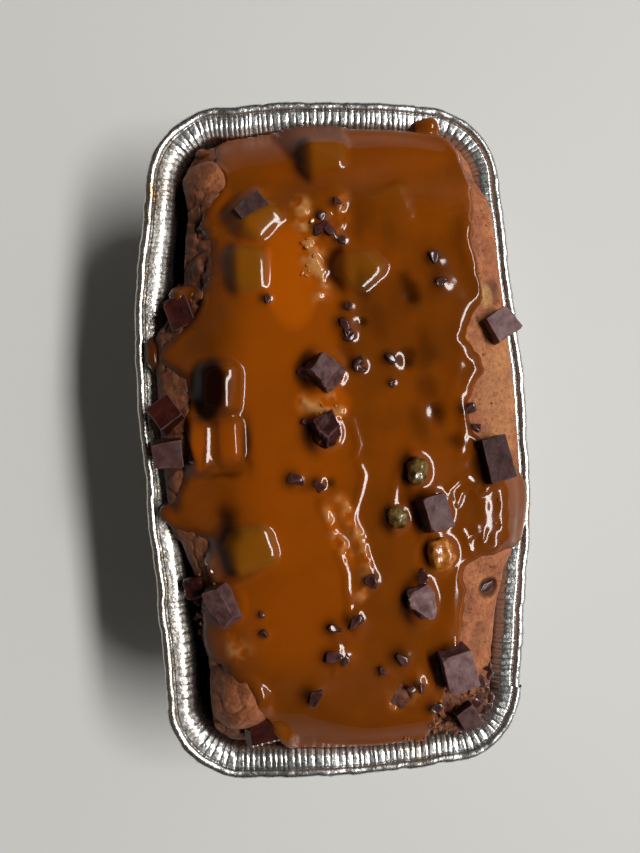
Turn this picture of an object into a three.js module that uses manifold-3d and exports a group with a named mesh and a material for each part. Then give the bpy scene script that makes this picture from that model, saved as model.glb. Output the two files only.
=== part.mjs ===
// Banana bread: a loaf baked in a creased foil tin, under a poured coat of caramel with
// chocolate chunks and walnut pieces. Millimetres, +Z up, +Y along the loaf.
// The origin is the middle of the tin's base.

import * as THREE from 'three';
import { mergeVertices } from 'three/addons/utils/BufferGeometryUtils.js';
import { ConvexGeometry } from 'three/addons/geometries/ConvexGeometry.js';
import Module from 'manifold-3d';

const wasm = await Module();
wasm.setup();

// ---- Driving dimensions ----

// The tin: its rolled rim as a rounded rectangle before the walls are pressed outward.
const TIN_LENGTH = 210.4;
const TIN_WIDTH = 112.6;
const TIN_HEIGHT = 62;
const RIM_CORNER = 22.2;
const SIDE_SWELL = 6.4; // how far each long side bows out
const END_SWELL = 2.8; // how far each end bows out
const RIGHT_PEAK = -0.09; // where the right side bows most, as a share of the half length
const LEFT_PEAK = 0.27;

// The rim's section: a flange sloping up from the wall, then a rolled bead. Its top and foot are
// given as an offset from the mouth line and a height.
const RIM_WIDTH = 6.3;
const BEAD_RADIUS = 1.5;
const FLANGE_TOP = [2.9, 61.3];
const FLANGE_FOOT = [-2.6, 58.4];
const WALL_FOOT = 0.2; // offset of the wall's inner face at the base
const LEDGE = 59.8; // height at which the mouth reaches its full size
const FOIL = 0.8; // wall of the tin
const BASE_LENGTH = 180;
const BASE_WIDTH = 82;
const BASE_CORNER = 14;
const FOLD = 1.5; // slope where the base turns up into the wall

// Clearances between pieces.
const GAP = 0.3;
const SKIN = 0.35; // between crust and caramel

// The loaf: heights of the crust above the rim.
const CROWN = 13;
const CROWN_FALL = 5; // how much lower the crown is at the ends
const LOW_RIGHT = -5.5;
const HIGH_RIGHT = 4.5;
const LOW_LEFT = -9;
const HIGH_LEFT = 2;
const SHOULDER_LEFT = 42; // distance from the wall over which the crust rises
const SHOULDER_RIGHT = 26;
const SHOULDER_POWER = 3;
const OVERHANG = 2.4; // how far the crust swelled out over the left flange
const CRUST_ROUND = 3.5; // height of the crust's rounded edge

// The caramel.
const CARAMEL_DEPTH = 2.4;
const CARAMEL_KEEL = 1.2; // how far its underside starts inside the loaf before it is cut away
const COAT = 1.3; // caramel over a covered chunk

// Mesh steps round the tin.
const SIDE_STEPS = 16;
const END_STEPS = 7;
const CORNER_STEPS = 4;

// ---- Small helpers ----

const { lerp, smoothstep, degToRad } = THREE.MathUtils;
const MOUTH_HALF_WIDTH = TIN_WIDTH / 2 - RIM_WIDTH;
const MOUTH_HALF_LENGTH = TIN_LENGTH / 2 - RIM_WIDTH;
const MOUTH_CORNER = RIM_CORNER - RIM_WIDTH;

// 1 between low and high, falling smoothly to 0 over the distance soft on either side.
function window01(value, low, high, soft) {
  return smoothstep(value, low - soft, low) * (1 - smoothstep(value, high, high + soft));
}

// A round-topped bump of height 1 at the middle that reaches 0 at its edge.
function mound(x, y, cx, cy, rx, ry) {
  const d = Math.hypot((x - cx) / rx, (y - cy) / ry);
  return d < 1 ? 1 - d ** 4 : 0;
}

// A repeatable random number between -1 and 1 from a whole number.
function scatter(seed) {
  const value = Math.sin(seed * 127.1 + 311.7) * 43758.5453;
  return 2 * (value - Math.floor(value)) - 1;
}

// Bowing of a pressed side: 1 at the peak, 0 at both ends of the side.
function swell(t, peak) {
  const reach = t > peak ? 1 - peak : 1 + peak;
  const turn = (t - peak) / reach;
  return Math.abs(turn) < 1 ? Math.cos((Math.PI / 2) * turn) ** 2 : 0;
}

// ---- The tin's outline and the rings that follow it ----

function roundedRectangle(halfWidth, halfLength, corner) {
  const points = [];
  const straightX = halfWidth - corner;
  const straightY = halfLength - corner;
  const run = (fromX, fromY, toX, toY, steps) => {
    for (let i = 0; i < steps; i++) {
      points.push([lerp(fromX, toX, i / steps), lerp(fromY, toY, i / steps)]);
    }
  };
  const arc = (centreX, centreY, start) => {
    for (let i = 0; i < CORNER_STEPS; i++) {
      const angle = start + (Math.PI / 2) * (i / CORNER_STEPS);
      points.push([centreX + corner * Math.cos(angle), centreY + corner * Math.sin(angle)]);
    }
  };
  run(halfWidth, -straightY, halfWidth, straightY, SIDE_STEPS);
  arc(straightX, straightY, 0);
  run(straightX, halfLength, -straightX, halfLength, END_STEPS);
  arc(-straightX, straightY, Math.PI / 2);
  run(-halfWidth, straightY, -halfWidth, -straightY, SIDE_STEPS);
  arc(-straightX, -straightY, Math.PI);
  run(-straightX, -halfLength, straightX, -halfLength, END_STEPS);
  arc(straightX, -straightY, Math.PI * 1.5);
  return points;
}

function sideSwell(x, y, halfLength) {
  return SIDE_SWELL * swell(y / halfLength, x > 0 ? RIGHT_PEAK : LEFT_PEAK);
}

// Points of the wall at height z, moved outward by the offset.
function wallRing(z, offset) {
  const rise = Math.min(z / LEDGE, 1);
  const halfWidth = lerp(BASE_WIDTH / 2, MOUTH_HALF_WIDTH, rise) + offset;
  const halfLength = lerp(BASE_LENGTH / 2, MOUTH_HALF_LENGTH, rise) + offset;
  const corner = lerp(BASE_CORNER, MOUTH_CORNER, rise) + offset;
  const fullness = rise ** 1.5;
  return roundedRectangle(halfWidth, halfLength, corner).map(([x, y]) => new THREE.Vector3(
    x + fullness * sideSwell(x, y, halfLength) * (x / halfWidth),
    y + fullness * END_SWELL * swell(x / halfWidth, 0) * (y / halfLength),
    z,
  ));
}

// Distance in from the tin's mouth: 0 at the wall, negative over the rim.
function inset(x, y) {
  const halfWidth = MOUTH_HALF_WIDTH + sideSwell(x, y, MOUTH_HALF_LENGTH);
  const halfLength = MOUTH_HALF_LENGTH + END_SWELL * swell(x / MOUTH_HALF_WIDTH, 0);
  const beyondX = Math.abs(x) - (halfWidth - MOUTH_CORNER);
  const beyondY = Math.abs(y) - (halfLength - MOUTH_CORNER);
  const round = Math.hypot(Math.max(beyondX, 0), Math.max(beyondY, 0));
  return MOUTH_CORNER - round - Math.min(Math.max(beyondX, beyondY), 0);
}

// ---- Closed surfaces from rings ----

function meshFrom(positions, triangles) {
  const geometry = new THREE.BufferGeometry();
  geometry.setAttribute('position', new THREE.Float32BufferAttribute(positions, 3));
  geometry.setIndex(triangles);
  const merged = mergeVertices(geometry, 1e-3);
  const index = merged.index.array;
  const kept = [];
  for (let i = 0; i < index.length; i += 3) {
    const [a, b, c] = [index[i], index[i + 1], index[i + 2]];
    if (a !== b && b !== c && c !== a) kept.push(a, b, c);
  }
  merged.setIndex(kept);
  return merged;
}

// Rings with equal counts, joined in turn. The first is closed by a fan, and so is the last
// unless it is a line that its own two halves close.
function loft(rings, topFan = true) {
  const count = rings[0].length;
  const positions = [];
  const triangles = [];
  for (const ring of rings) {
    for (const point of ring) positions.push(point.x, point.y, point.z);
  }
  const middles = [rings[0], rings[rings.length - 1]].map((ring) => {
    const sum = ring.reduce((total, point) => total.add(point), new THREE.Vector3());
    positions.push(...sum.divideScalar(count));
    return positions.length / 3 - 1;
  });
  const last = (rings.length - 1) * count;
  for (let i = 0; i < count; i++) {
    const next = (i + 1) % count;
    for (let row = 0; row < last; row += count) {
      triangles.push(row + i, row + next, row + count + next);
      triangles.push(row + i, row + count + next, row + count + i);
    }
    triangles.push(middles[0], next, i);
    if (topFan) triangles.push(middles[1], last + i, last + next);
  }
  return meshFrom(positions, triangles);
}

// ---- Joining and cutting ----

function toSolid(geometry) {
  const bare = geometry.clone();
  bare.deleteAttribute('normal');
  bare.deleteAttribute('uv');
  const merged = mergeVertices(bare, 1e-4);
  return new wasm.Manifold(new wasm.Mesh({
    numProp: 3,
    vertProperties: new Float32Array(merged.attributes.position.array),
    triVerts: new Uint32Array(merged.index.array),
  }));
}

// The largest body of a solid as a geometry, so that no crumb of a cut is left loose.
function toGeometry(solid) {
  const bodies = solid.decompose().sort((a, b) => b.volume() - a.volume());
  const { vertProperties, triVerts } = bodies[0].getMesh();
  const geometry = new THREE.BufferGeometry();
  geometry.setAttribute('position', new THREE.BufferAttribute(vertProperties, 3));
  geometry.setIndex(new THREE.BufferAttribute(triVerts, 1));
  geometry.computeVertexNormals();
  return geometry;
}

// ---- The foil tin ----

// Offset of the foil's inner face at a height: the wall, then the sloping flange.
function foilFace(z) {
  const [footOut, footUp] = FLANGE_FOOT;
  if (z < footUp) return lerp(WALL_FOOT, footOut, z / footUp);
  return footOut + ((z - footUp) * (FLANGE_TOP[0] - footOut)) / (FLANGE_TOP[1] - footUp);
}

// Section of the tin from the base out, up the wall, round the bead and down the inside,
// as an offset from the mouth line and a height. Growing it makes the clearance for the caramel.
function tinSection(grow) {
  const bead = BEAD_RADIUS + grow;
  const round = [-110, -40, 20, 80, 140].map((degrees) => [
    RIM_WIDTH - BEAD_RADIUS + bead * Math.cos(degToRad(degrees)),
    TIN_HEIGHT - BEAD_RADIUS + bead * Math.sin(degToRad(degrees)),
  ]);
  const outer = (z) => [foilFace(z) + FOIL + grow, z];
  const inner = (z) => [foilFace(z) - grow, z];
  const [topOut, topUp] = FLANGE_TOP;
  return [
    [WALL_FOOT + FOIL - FOLD, 0],
    outer(FOLD),
    outer(LEDGE / 3),
    outer(FLANGE_FOOT[1] - 0.7 * FOIL),
    [topOut + 0.5 * FOIL, topUp - 1.2 * FOIL - grow],
    ...round,
    [topOut, topUp + grow],
    inner(FLANGE_FOOT[1]),
    inner(LEDGE / 3),
    inner(FOIL + FOLD),
    [WALL_FOOT - FOLD, FOIL + grow],
  ];
}

function tinShell(grow) {
  return loft(tinSection(grow).map(([offset, z]) => wallRing(z, offset).map((point) => point.setZ(z))));
}

// ---- The loaf ----

// Height of the crust where it meets the wall: high in the middle of each side, low elsewhere.
function edgeLevel(x, y) {
  const right = lerp(LOW_RIGHT, HIGH_RIGHT, window01(y, -32, 68, 24));
  const left = lerp(LOW_LEFT, HIGH_LEFT, window01(y, -26, 32, 16));
  return lerp(left, right, smoothstep(x, -30, 30));
}

// Gap that the baked loaf leaves as it shrinks from the wall.
function pull(x, y) {
  if (x > 0) return 1.6 * window01(y, -84, -58, 12);
  return 3.4 * window01(y, -82, -48, 12) + 2.6 * window01(y, 48, 72, 12);
}

// How far the crust swelled out over the flange.
function overhang(x, y) {
  return x > 0 ? 0 : OVERHANG * window01(y, -20, 30, 14);
}

// Lobes, the split along the top and the slow waves of the crust.
function crustRelief(x, y) {
  const splitLine = 2 - 6 * Math.sin((y - 20) / 32);
  const split = Math.exp(-(((x - splitLine) / 6) ** 2)) * window01(y, -42, 56, 14);
  return 3 * mound(x, y, -39.6, 80, 9, 10)
    + 3.5 * mound(x, y, -34.5, -80, 11, 11)
    - 2.4 * split
    + 0.6 * Math.sin(x / 7.5 + 1.3) * Math.sin(y / 9.5 + 0.4)
    + 0.5 * Math.sin(x / 13 - y / 17);
}

// Height of the crust, carried on past the wall and down to the rim for what runs over it.
function crust(x, y) {
  const depth = inset(x, y) + overhang(x, y);
  const edge = edgeLevel(x, y);
  if (depth < 0) return TIN_HEIGHT + lerp(edge, -0.6, smoothstep(-depth, 0, RIM_WIDTH * 0.6));
  const crown = CROWN - CROWN_FALL * (y / MOUTH_HALF_LENGTH) ** 4;
  const shoulder = lerp(SHOULDER_LEFT, SHOULDER_RIGHT, smoothstep(x, -30, 10));
  const rise = 1 - (1 - Math.min(depth / shoulder, 1)) ** SHOULDER_POWER;
  return TIN_HEIGHT + lerp(edge, crown, rise) + crustRelief(x, y) * smoothstep(depth, 0, 6);
}

// Growing the loaf makes the clearance for the caramel.
function loafBody(grow) {
  const shrunk = (point, share) => {
    const scale = 1 - (share * pull(point.x, point.y)) / Math.abs(point.x || 1);
    return point.setX(point.x * scale);
  };
  const ring = (z, share) => wallRing(z, foilFace(z) - GAP + grow).map((point) => shrunk(point, share));
  const mouth = wallRing(LEDGE, 0);
  const tops = mouth.map(({ x, y }) => TIN_HEIGHT + edgeLevel(x, y) - CRUST_ROUND + grow);
  // Point i of the ring that follows the foil's face up to a height of its own, kept clear of
  // the flange's foot where the crust next to it is lower.
  const onFace = (i, z) => {
    const beside = [-1, 0, 1].map((step) => tops[(i + step + tops.length) % tops.length]);
    const face = Math.min(foilFace(z), ...beside.map(foilFace), overhang(mouth[i].x, mouth[i].y));
    return shrunk(wallRing(z, face - 2 * GAP + grow)[i].setZ(z), 1);
  };
  const foot = tops.map((top, i) => onFace(i, Math.min(FLANGE_FOOT[1], top - 1)));
  const edge = tops.map((top, i) => onFace(i, top));
  // The dome closes on a line down the middle, which each point of the edge faces.
  const spineReach = MOUTH_HALF_LENGTH - MOUTH_HALF_WIDTH;
  const spine = roundedRectangle(MOUTH_HALF_WIDTH, MOUTH_HALF_LENGTH, MOUTH_CORNER)
    .map(([, y]) => THREE.MathUtils.clamp(y, -spineReach, spineReach));
  const dome = [0.95, 0.84, 0.66, 0.36, 0].map((share) => edge.map((point, i) => {
    const x = point.x * share;
    const y = lerp(spine[i], point.y, share);
    return new THREE.Vector3(x, y, crust(x, y) + grow);
  }));
  const bottom = wallRing(0, WALL_FOOT - GAP + grow - FOLD).map((point) => point.setZ(FOIL + GAP - grow));
  return loft([bottom, ring(FOIL + GAP + FOLD, 0), ring(LEDGE / 3, 0.5), foot, edge, ...dome], false);
}

// ---- Toppings ----

// Place, size, turn about the upright, tilt towards +X and towards +Y, and the height of
// the middle above the crust. A coated piece lies under the caramel.
const CHUNKS = [
  { x: 50, y: 32, size: [8.6, 8.8, 8.2], turn: 31, tilt: [1, 4], lift: 3.2 },
  { x: -2.2, y: 84, size: [13, 10, 9], turn: 6, tilt: [0, 4], lift: -2.2, coated: true },
  { x: -23.2, y: 66.5, size: [10.4, 11.4, 9.5], turn: 40, tilt: [6, -10], lift: -1.2 },
  { x: -25.5, y: 50, size: [9.6, 13, 8.5], turn: 3, tilt: [2, 0], lift: -2.2, coated: true },
  { x: 7.1, y: 50.1, size: [12.5, 12, 9], turn: 38, tilt: [-1, 3], lift: -2.6, coated: true },
  { x: 17, y: 67.9, size: [13, 12, 7], turn: 18, tilt: [1, 1], lift: -2.2, coated: true },
  { x: -5, y: 19.6, size: [9.5, 10.5, 9], turn: 50, tilt: [14, -22], lift: 2.4 },
  { x: -35.8, y: 15.8, size: [9.5, 14.5, 10], turn: -7, tilt: [-6, 0], lift: -1.8, coated: true },
  { x: -51.3, y: 8.6, size: [8.2, 7.8, 8.6], turn: 36, tilt: [4, 10], lift: 2.8 },
  { x: -51.6, y: -2.8, size: [8.8, 7.8, 8.6], turn: 4, tilt: [6, -8], lift: 2.4 },
  { x: -41.9, y: -1, size: [6, 12.6, 8], turn: -2, tilt: [0, 0], lift: -0.9, coated: true },
  { x: -33.5, y: 0.6, size: [8.4, 14, 8.4], turn: 2, tilt: [2, 0], lift: -1.8, coated: true },
  { x: 26, y: -23.4, size: [7.8, 10.8, 8], turn: 12, tilt: [10, 2], lift: 2.4 },
  { x: 45.6, y: -8.5, size: [8, 13, 8], turn: 14, tilt: [4, 0], lift: 2.6 },
  { x: 21.2, y: -50, size: [8, 10.5, 7.5], turn: 6, tilt: [-4, 10], lift: 2.6 },
  { x: 31.4, y: -69.6, size: [9, 11.8, 7.6], turn: 13, tilt: [4, -6], lift: 2.4 },
  { x: -36.6, y: -48.2, size: [7.4, 12.4, 7.5], turn: 22, tilt: [-16, 0], lift: 2.4 },
  { x: -27.9, y: -31.3, size: [14, 12, 9], turn: 14, tilt: [-3, 0], lift: -2, coated: true },
  { x: -47, y: 39.4, size: [7.6, 9.4, 6.4], turn: 20, tilt: [0, 0], lift: 0.6 },
  { x: -5.2, y: 1.8, size: [8.5, 8.5, 7.5], turn: 24, tilt: [8, 12], lift: 2.2 },
  { x: -26.4, y: -89.1, size: [12.5, 8.5, 7], turn: 8, tilt: [0, -10], lift: -0.4, coated: true },
  { x: 34.8, y: -85.8, size: [6.4, 6.8, 5.6], turn: 30, tilt: [0, 0], lift: 2 },
];

// Rounder dark drops and the walnut pieces.
const DROPS = [
  { x: -46.1, y: -44.6, size: [7, 7, 5], turn: 0, tilt: [0, 0], lift: 1.6 },
];
const WALNUTS = [
  { x: 27.7, y: -35.5, size: [7.6, 9, 6.6], turn: 12, tilt: [-6, 0], lift: 2.6 },
  { x: 21.5, y: -10.8, size: [6.2, 8.4, 5.6], turn: -6, tilt: [0, 0], lift: 2.4 },
  { x: 15, y: -24.6, size: [6.2, 6.2, 5.4], turn: 0, tilt: [0, 0], lift: 2.4 },
];

// A block with bevelled edges and slightly uneven corners.
function block([width, length, height], bevel, seed, grow) {
  const cut = bevel * Math.min(width, length, height);
  const points = [];
  for (let corner = 0; corner < 8; corner++) {
    const sign = [corner & 1 ? 1 : -1, corner & 2 ? 1 : -1, corner & 4 ? 1 : -1];
    const tip = [width, length, height].map((extent, axis) => {
      const uneven = 1 + 0.07 * scatter(seed * 31 + corner * 3 + axis);
      return sign[axis] * ((extent / 2) * uneven + grow);
    });
    for (let axis = 0; axis < 3; axis++) {
      points.push(new THREE.Vector3(...tip.map((value, i) => (i === axis ? value : value - sign[i] * cut))));
    }
  }
  return new ConvexGeometry(points);
}

// The named mesh of one topping, with its square-edged pocket and its coat as solids.
function topping(name, spec, bevel, seed, material) {
  const mesh = new THREE.Mesh(block(spec.size, bevel, seed, 0), material);
  mesh.name = name;
  mesh.position.set(spec.x, spec.y, crust(spec.x, spec.y) + spec.lift);
  mesh.rotation.set(-degToRad(spec.tilt[1]), degToRad(spec.tilt[0]), degToRad(spec.turn), 'ZYX');
  mesh.updateMatrix();
  const around = (edge, grow) => toSolid(block(spec.size, edge, seed, grow).applyMatrix4(mesh.matrix));
  return { mesh, pocket: around(0, GAP), coat: spec.coated ? around(bevel, COAT) : null };
}

// ---- The caramel ----

// Edge of the poured caramel, round from the front right corner.
const CARAMEL_EDGE = [
  [20, -97], [27, -81], [35, -63], [37, -41], [47, -38], [60, -34], [61.5, -22], [57, -13],
  [46, -5], [39.5, 2], [39, 11], [45, 19.5], [39, 30.5], [45, 43.5], [43, 60], [42.5, 83],
  [37.5, 94.5], [26, 97.5], [8, 98], [-12, 98], [-28, 97.5], [-35.3, 91], [-32.6, 82], [-33.5, 76],
  [-38.5, 70.5], [-37.5, 62], [-41, 44], [-43.5, 37], [-54, 28.5], [-52, 23], [-45.5, 17],
  [-46, 7], [-46.5, -7], [-50, -16], [-56, -20.5], [-55, -25], [-49, -27], [-42, -28.5], [-41, -37],
  [-42.5, -49], [-40, -60], [-33, -66], [-29, -73], [-26, -84], [-19, -95.5], [2, -98], [12, -98],
];

function caramelSheet() {
  const curve = new THREE.CatmullRomCurve3(
    CARAMEL_EDGE.map(([x, y]) => new THREE.Vector3(x, y, 0)), true, 'catmullrom', 0.5,
  );
  const edge = curve.getSpacedPoints(76).slice(0, -1);
  const ring = (share, height) => edge.map((point) => {
    const x = point.x * share;
    const y = point.y * share;
    return new THREE.Vector3(x, y, crust(x, y) + height);
  });
  const shares = [0.22, 0.45, 0.68, 0.9, 1];
  const under = shares.map((share) => ring(share, -CARAMEL_KEEL));
  const over = shares.map((share) => ring(share, CARAMEL_DEPTH * (0.4 + 0.6 * Math.sqrt(1 - share ** 6))));
  return loft([...under, ...over.reverse()]);
}

// ---- Assembly ----

const finish = (color, roughness, metalness = 0) => new THREE.MeshStandardMaterial({ color, roughness, metalness });

function banana_bread() {
  const group = new THREE.Group();
  const piece = (name, geometry, material) => {
    const mesh = new THREE.Mesh(geometry, material);
    mesh.name = name;
    group.add(mesh);
  };
  const number = (i) => String(i + 1).padStart(2, '0');
  const toppings = [
    ...CHUNKS.map((spec, i) => topping(
      `chocolate_chunk_${number(i)}`, spec, spec.coated ? 0.26 : 0.13, i + 1, finish(0x3a2420, 0.5),
    )),
    ...DROPS.map((spec, i) => topping(`chocolate_drop_${number(i)}`, spec, 0.3, i + 40, finish(0x1c0a08, 0.4))),
    ...WALNUTS.map((spec, i) => topping(`walnut_piece_${number(i)}`, spec, 0.3, i + 60, finish(0xb07838, 0.5))),
  ];

  let loaf = toSolid(loafBody(0));
  let caramel = toSolid(caramelSheet());
  for (const { coat } of toppings.filter((item) => item.coat)) caramel = caramel.add(coat);
  caramel = caramel.subtract(toSolid(loafBody(SKIN))).subtract(toSolid(tinShell(GAP)));
  for (const { pocket } of toppings) {
    loaf = loaf.subtract(pocket);
    caramel = caramel.subtract(pocket);
  }

  piece('foil_tin', tinShell(0), finish(0xb4b5b2, 0.3, 1));
  piece('loaf', toGeometry(loaf), finish(0x8a5636, 0.85));
  piece('caramel', toGeometry(caramel), finish(0x8c4408, 0.15));
  for (const { mesh } of toppings) group.add(mesh);
  return group;
}

export default banana_bread();
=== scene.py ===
"""Looks of the banana bread in its foil tin: baked crust, poured caramel, chocolate and walnuts.

Lengths in this file are millimetres until a vertex is placed; MM turns them into metres.
"""

import math
import random

import bmesh
import bpy
import numpy as np
from mathutils import Matrix, Vector, noise
from mathutils.bvhtree import BVHTree


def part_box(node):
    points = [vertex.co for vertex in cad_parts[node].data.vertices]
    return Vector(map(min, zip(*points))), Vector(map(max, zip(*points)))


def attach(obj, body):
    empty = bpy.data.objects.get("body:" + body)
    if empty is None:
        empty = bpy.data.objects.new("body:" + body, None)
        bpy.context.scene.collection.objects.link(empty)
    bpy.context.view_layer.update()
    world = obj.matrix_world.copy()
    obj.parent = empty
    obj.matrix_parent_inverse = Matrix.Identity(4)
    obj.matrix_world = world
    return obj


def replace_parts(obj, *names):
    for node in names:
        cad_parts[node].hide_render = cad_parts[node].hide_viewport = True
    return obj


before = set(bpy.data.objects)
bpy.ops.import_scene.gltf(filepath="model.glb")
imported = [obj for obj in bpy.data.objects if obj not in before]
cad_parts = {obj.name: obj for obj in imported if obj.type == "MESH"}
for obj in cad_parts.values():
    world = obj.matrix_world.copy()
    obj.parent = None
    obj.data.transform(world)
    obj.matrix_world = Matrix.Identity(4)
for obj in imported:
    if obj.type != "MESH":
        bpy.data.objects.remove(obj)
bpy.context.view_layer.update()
MM = 0.001

# ---- sizes

# The tin: rim outline before its sides were pressed outward, and the section of the rim.
TIN_LENGTH = 210.4
TIN_WIDTH = 112.6
TIN_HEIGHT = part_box("foil_tin")[1].z / MM
RIM_CORNER = 22.2
SIDE_SWELL = 6.4
END_SWELL = 2.8
RIGHT_PEAK = -0.09
LEFT_PEAK = 0.27
RIM_WIDTH = 6.3
BEAD_RADIUS = 1.5
LEDGE = 59.8
BASE_LENGTH = 180
BASE_WIDTH = 82
BASE_CORNER = 14
MOUTH_HALF_WIDTH = TIN_WIDTH / 2 - RIM_WIDTH
MOUTH_HALF_LENGTH = TIN_LENGTH / 2 - RIM_WIDTH
MOUTH_CORNER = RIM_CORNER - RIM_WIDTH

# Foil: real thickness is about 0.1, drawn a little thicker; pleats pressed into the wall.
FOIL = 0.2
PLEAT = 2.3
PLEAT_DEPTH = 0.8
# The sloping flange inside the bead: offset from the mouth line and height, at its top, bend and foot.
FLANGE_TOP = (2.9, 61.3)
FLANGE_BEND = (-0.2, 60.7)
FLANGE_FOOT = (-2.7, 58.4)

# The crust above the rim: its crown and the fall toward the ends, the lowest and highest level along
# either edge, breadth of the shoulders, how far it swells out, the rounding of its edge.
CROWN = 13
CROWN_FALL = 5
LOW_RIGHT = -5.5
HIGH_RIGHT = 4.5
LOW_LEFT = -9
HIGH_LEFT = 2
SHOULDER_LEFT = 42
SHOULDER_RIGHT = 26
SHOULDER_POWER = 3
OVERHANG_LEFT = 2.4
OVERHANG_RIGHT = 1.6
CRUST_ROUND = 3.5
SPLIT_DEPTH = 2.4
WALL_GAP = 0.5

# The caramel: its thinnest film, fall beyond its edge, mesh spacing, coat on a chunk.
CARAMEL_FILM = 0.8
CARAMEL_SKIRT = 1.3
CARAMEL_STEP = 0.46
COAT = 0.8

# Middles of the crust's two corner lobes, of its two pits and its imprint on the right, and of the
# caramel's run over the rim.
BACK_LOBE = (-39.1, 78.2)
FRONT_LOBE = (-34.2, -78.1)
DEEP_PIT = (43.5, -47.8)
LONG_PIT = (39.4, -62.8)
IMPRINT = (48.7, 42.8)
IMPRINT_DARK = (49.5, 43.4)
SPILL = (33.5, 98.5)

# Points closer together than this are welded in a rolled-up skin.
WELD = 0.004

# ---- small helpers


def lerp(a, b, share):
    return a + (b - a) * share


def smoothstep(value, low, high):
    share = np.clip((value - low) / (high - low), 0, 1)
    return share * share * (3 - 2 * share)


def between(value, low, high, soft):
    """1 from low to high, falling to 0 over soft on either side."""
    return smoothstep(value, low - soft, low) * (1 - smoothstep(value, high, high + soft))


def bell(distance, breadth):
    """1 in the middle, falling to about a third at the breadth."""
    return np.exp(-(distance / breadth) ** 2)


def mound(x, y, cx, cy, rx, ry, power=2):
    """A round-topped bump of height 1 that reaches 0 at its edge; a higher power squares it off."""
    d = (np.abs((x - cx) / rx) ** power + np.abs((y - cy) / ry) ** power) ** (1 / power)
    return np.where(d < 1, 1 - d ** 4, 0)


def waves(x, y, size, seed):
    """Smooth random field between -1 and 1, with bumps about one size apart."""
    px, py = x / size, y / size
    ix, iy = np.floor(px), np.floor(py)
    fx, fy = px - ix, py - iy
    ux = fx ** 3 * (fx * (6 * fx - 15) + 10)
    uy = fy ** 3 * (fy * (6 * fy - 15) + 10)

    def corner(dx, dy):
        value = np.sin((ix + dx) * 127.1 + (iy + dy) * 311.7 + seed * 74.7) * 43758.5453
        return 2 * (value - np.floor(value)) - 1

    low = lerp(corner(0, 0), corner(1, 0), ux)
    high = lerp(corner(0, 1), corner(1, 1), ux)
    return lerp(low, high, uy)


def swell(t, peak):
    """Bowing of a pressed side: 1 at the peak, 0 at both ends."""
    reach = np.where(t > peak, 1 - peak, 1 + peak)
    turn = (t - peak) / reach
    return np.where(np.abs(turn) < 1, np.cos(np.pi / 2 * turn) ** 2, 0)


def side_swell(x, y, half_length):
    return SIDE_SWELL * swell(y / half_length, np.where(x > 0, RIGHT_PEAK, LEFT_PEAK))


def rounded_rectangle(u, half_width, half_length, corner):
    """Points at shares u of the way round, from the front end of the right side.

    Sides and corners keep the shares they have at the tin's mouth, so pleats run straight down the wall.
    """
    side = half_length - corner
    end = half_width - corner
    mouth_arc = np.pi / 2 * MOUTH_CORNER
    mouth_side = 2 * (MOUTH_HALF_LENGTH - MOUTH_CORNER)
    mouth_end = 2 * (MOUTH_HALF_WIDTH - MOUTH_CORNER)
    s = np.mod(u, 1) * 2 * (mouth_side + mouth_end + 2 * mouth_arc)
    x, y = np.zeros_like(s), np.zeros_like(s)
    start = 0
    for quarter in range(4):
        straight, reach, run = (side, end, mouth_side) if quarter % 2 == 0 else (end, side, mouth_end)
        here = (s >= start) & ((s < start + run + mouth_arc) | (quarter == 3))
        along = straight * (2 * np.minimum((s - start) / run, 1) - 1)
        angle = np.maximum(s - start - run, 0) / MOUTH_CORNER
        local_x = reach + corner * np.cos(angle)
        local_y = along + corner * np.sin(angle)
        turn = [(1, 0), (0, 1), (-1, 0), (0, -1)][quarter]
        x = np.where(here, turn[0] * local_x - turn[1] * local_y, x)
        y = np.where(here, turn[1] * local_x + turn[0] * local_y, y)
        start += run + mouth_arc
    return x, y


def wall(u, z, offset):
    """Points of the tin's wall at height z, moved outward by the offset."""
    rise = np.clip(z / LEDGE, 0, 1)
    half_width = lerp(BASE_WIDTH / 2, MOUTH_HALF_WIDTH, rise) + offset
    half_length = lerp(BASE_LENGTH / 2, MOUTH_HALF_LENGTH, rise) + offset
    corner = lerp(BASE_CORNER, MOUTH_CORNER, rise) + offset
    x, y = rounded_rectangle(u, half_width, half_length, corner)
    fullness = rise ** 1.5
    bowed_x = x + fullness * side_swell(x, y, half_length) * x / half_width
    bowed_y = y + fullness * END_SWELL * swell(x / half_width, 0) * y / half_length
    return bowed_x, bowed_y


def inset(x, y):
    """Distance in from the tin's mouth: 0 at the wall, negative over the rim."""
    half_width = MOUTH_HALF_WIDTH + side_swell(x, y, MOUTH_HALF_LENGTH)
    half_length = MOUTH_HALF_LENGTH + END_SWELL * swell(x / MOUTH_HALF_WIDTH, 0)
    beyond_x = np.abs(x) - (half_width - MOUTH_CORNER)
    beyond_y = np.abs(y) - (half_length - MOUTH_CORNER)
    corner = np.hypot(np.maximum(beyond_x, 0), np.maximum(beyond_y, 0))
    return MOUTH_CORNER - corner - np.minimum(np.maximum(beyond_x, beyond_y), 0)


def edge_level(x, y):
    right = lerp(LOW_RIGHT, HIGH_RIGHT, between(y, -32, 68, 24))
    left = lerp(LOW_LEFT, HIGH_LEFT, between(y, -26, 32, 16))
    return lerp(left, right, smoothstep(x, -30, 30))


def pull(x, y):
    """Gap that the baked loaf leaves as it shrinks from the wall."""
    right = 1.6 * between(y, -84, -58, 12)
    left = 3.4 * between(y, -82, -48, 12) + 2.6 * between(y, 48, 72, 12)
    return np.where(x > 0, right, left)


def overhang(x, y):
    """How far the crust swelled out over the flange."""
    return np.where(x > 0, OVERHANG_RIGHT * between(y, -20, 66, 20), OVERHANG_LEFT * between(y, -20, 30, 14))


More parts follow.
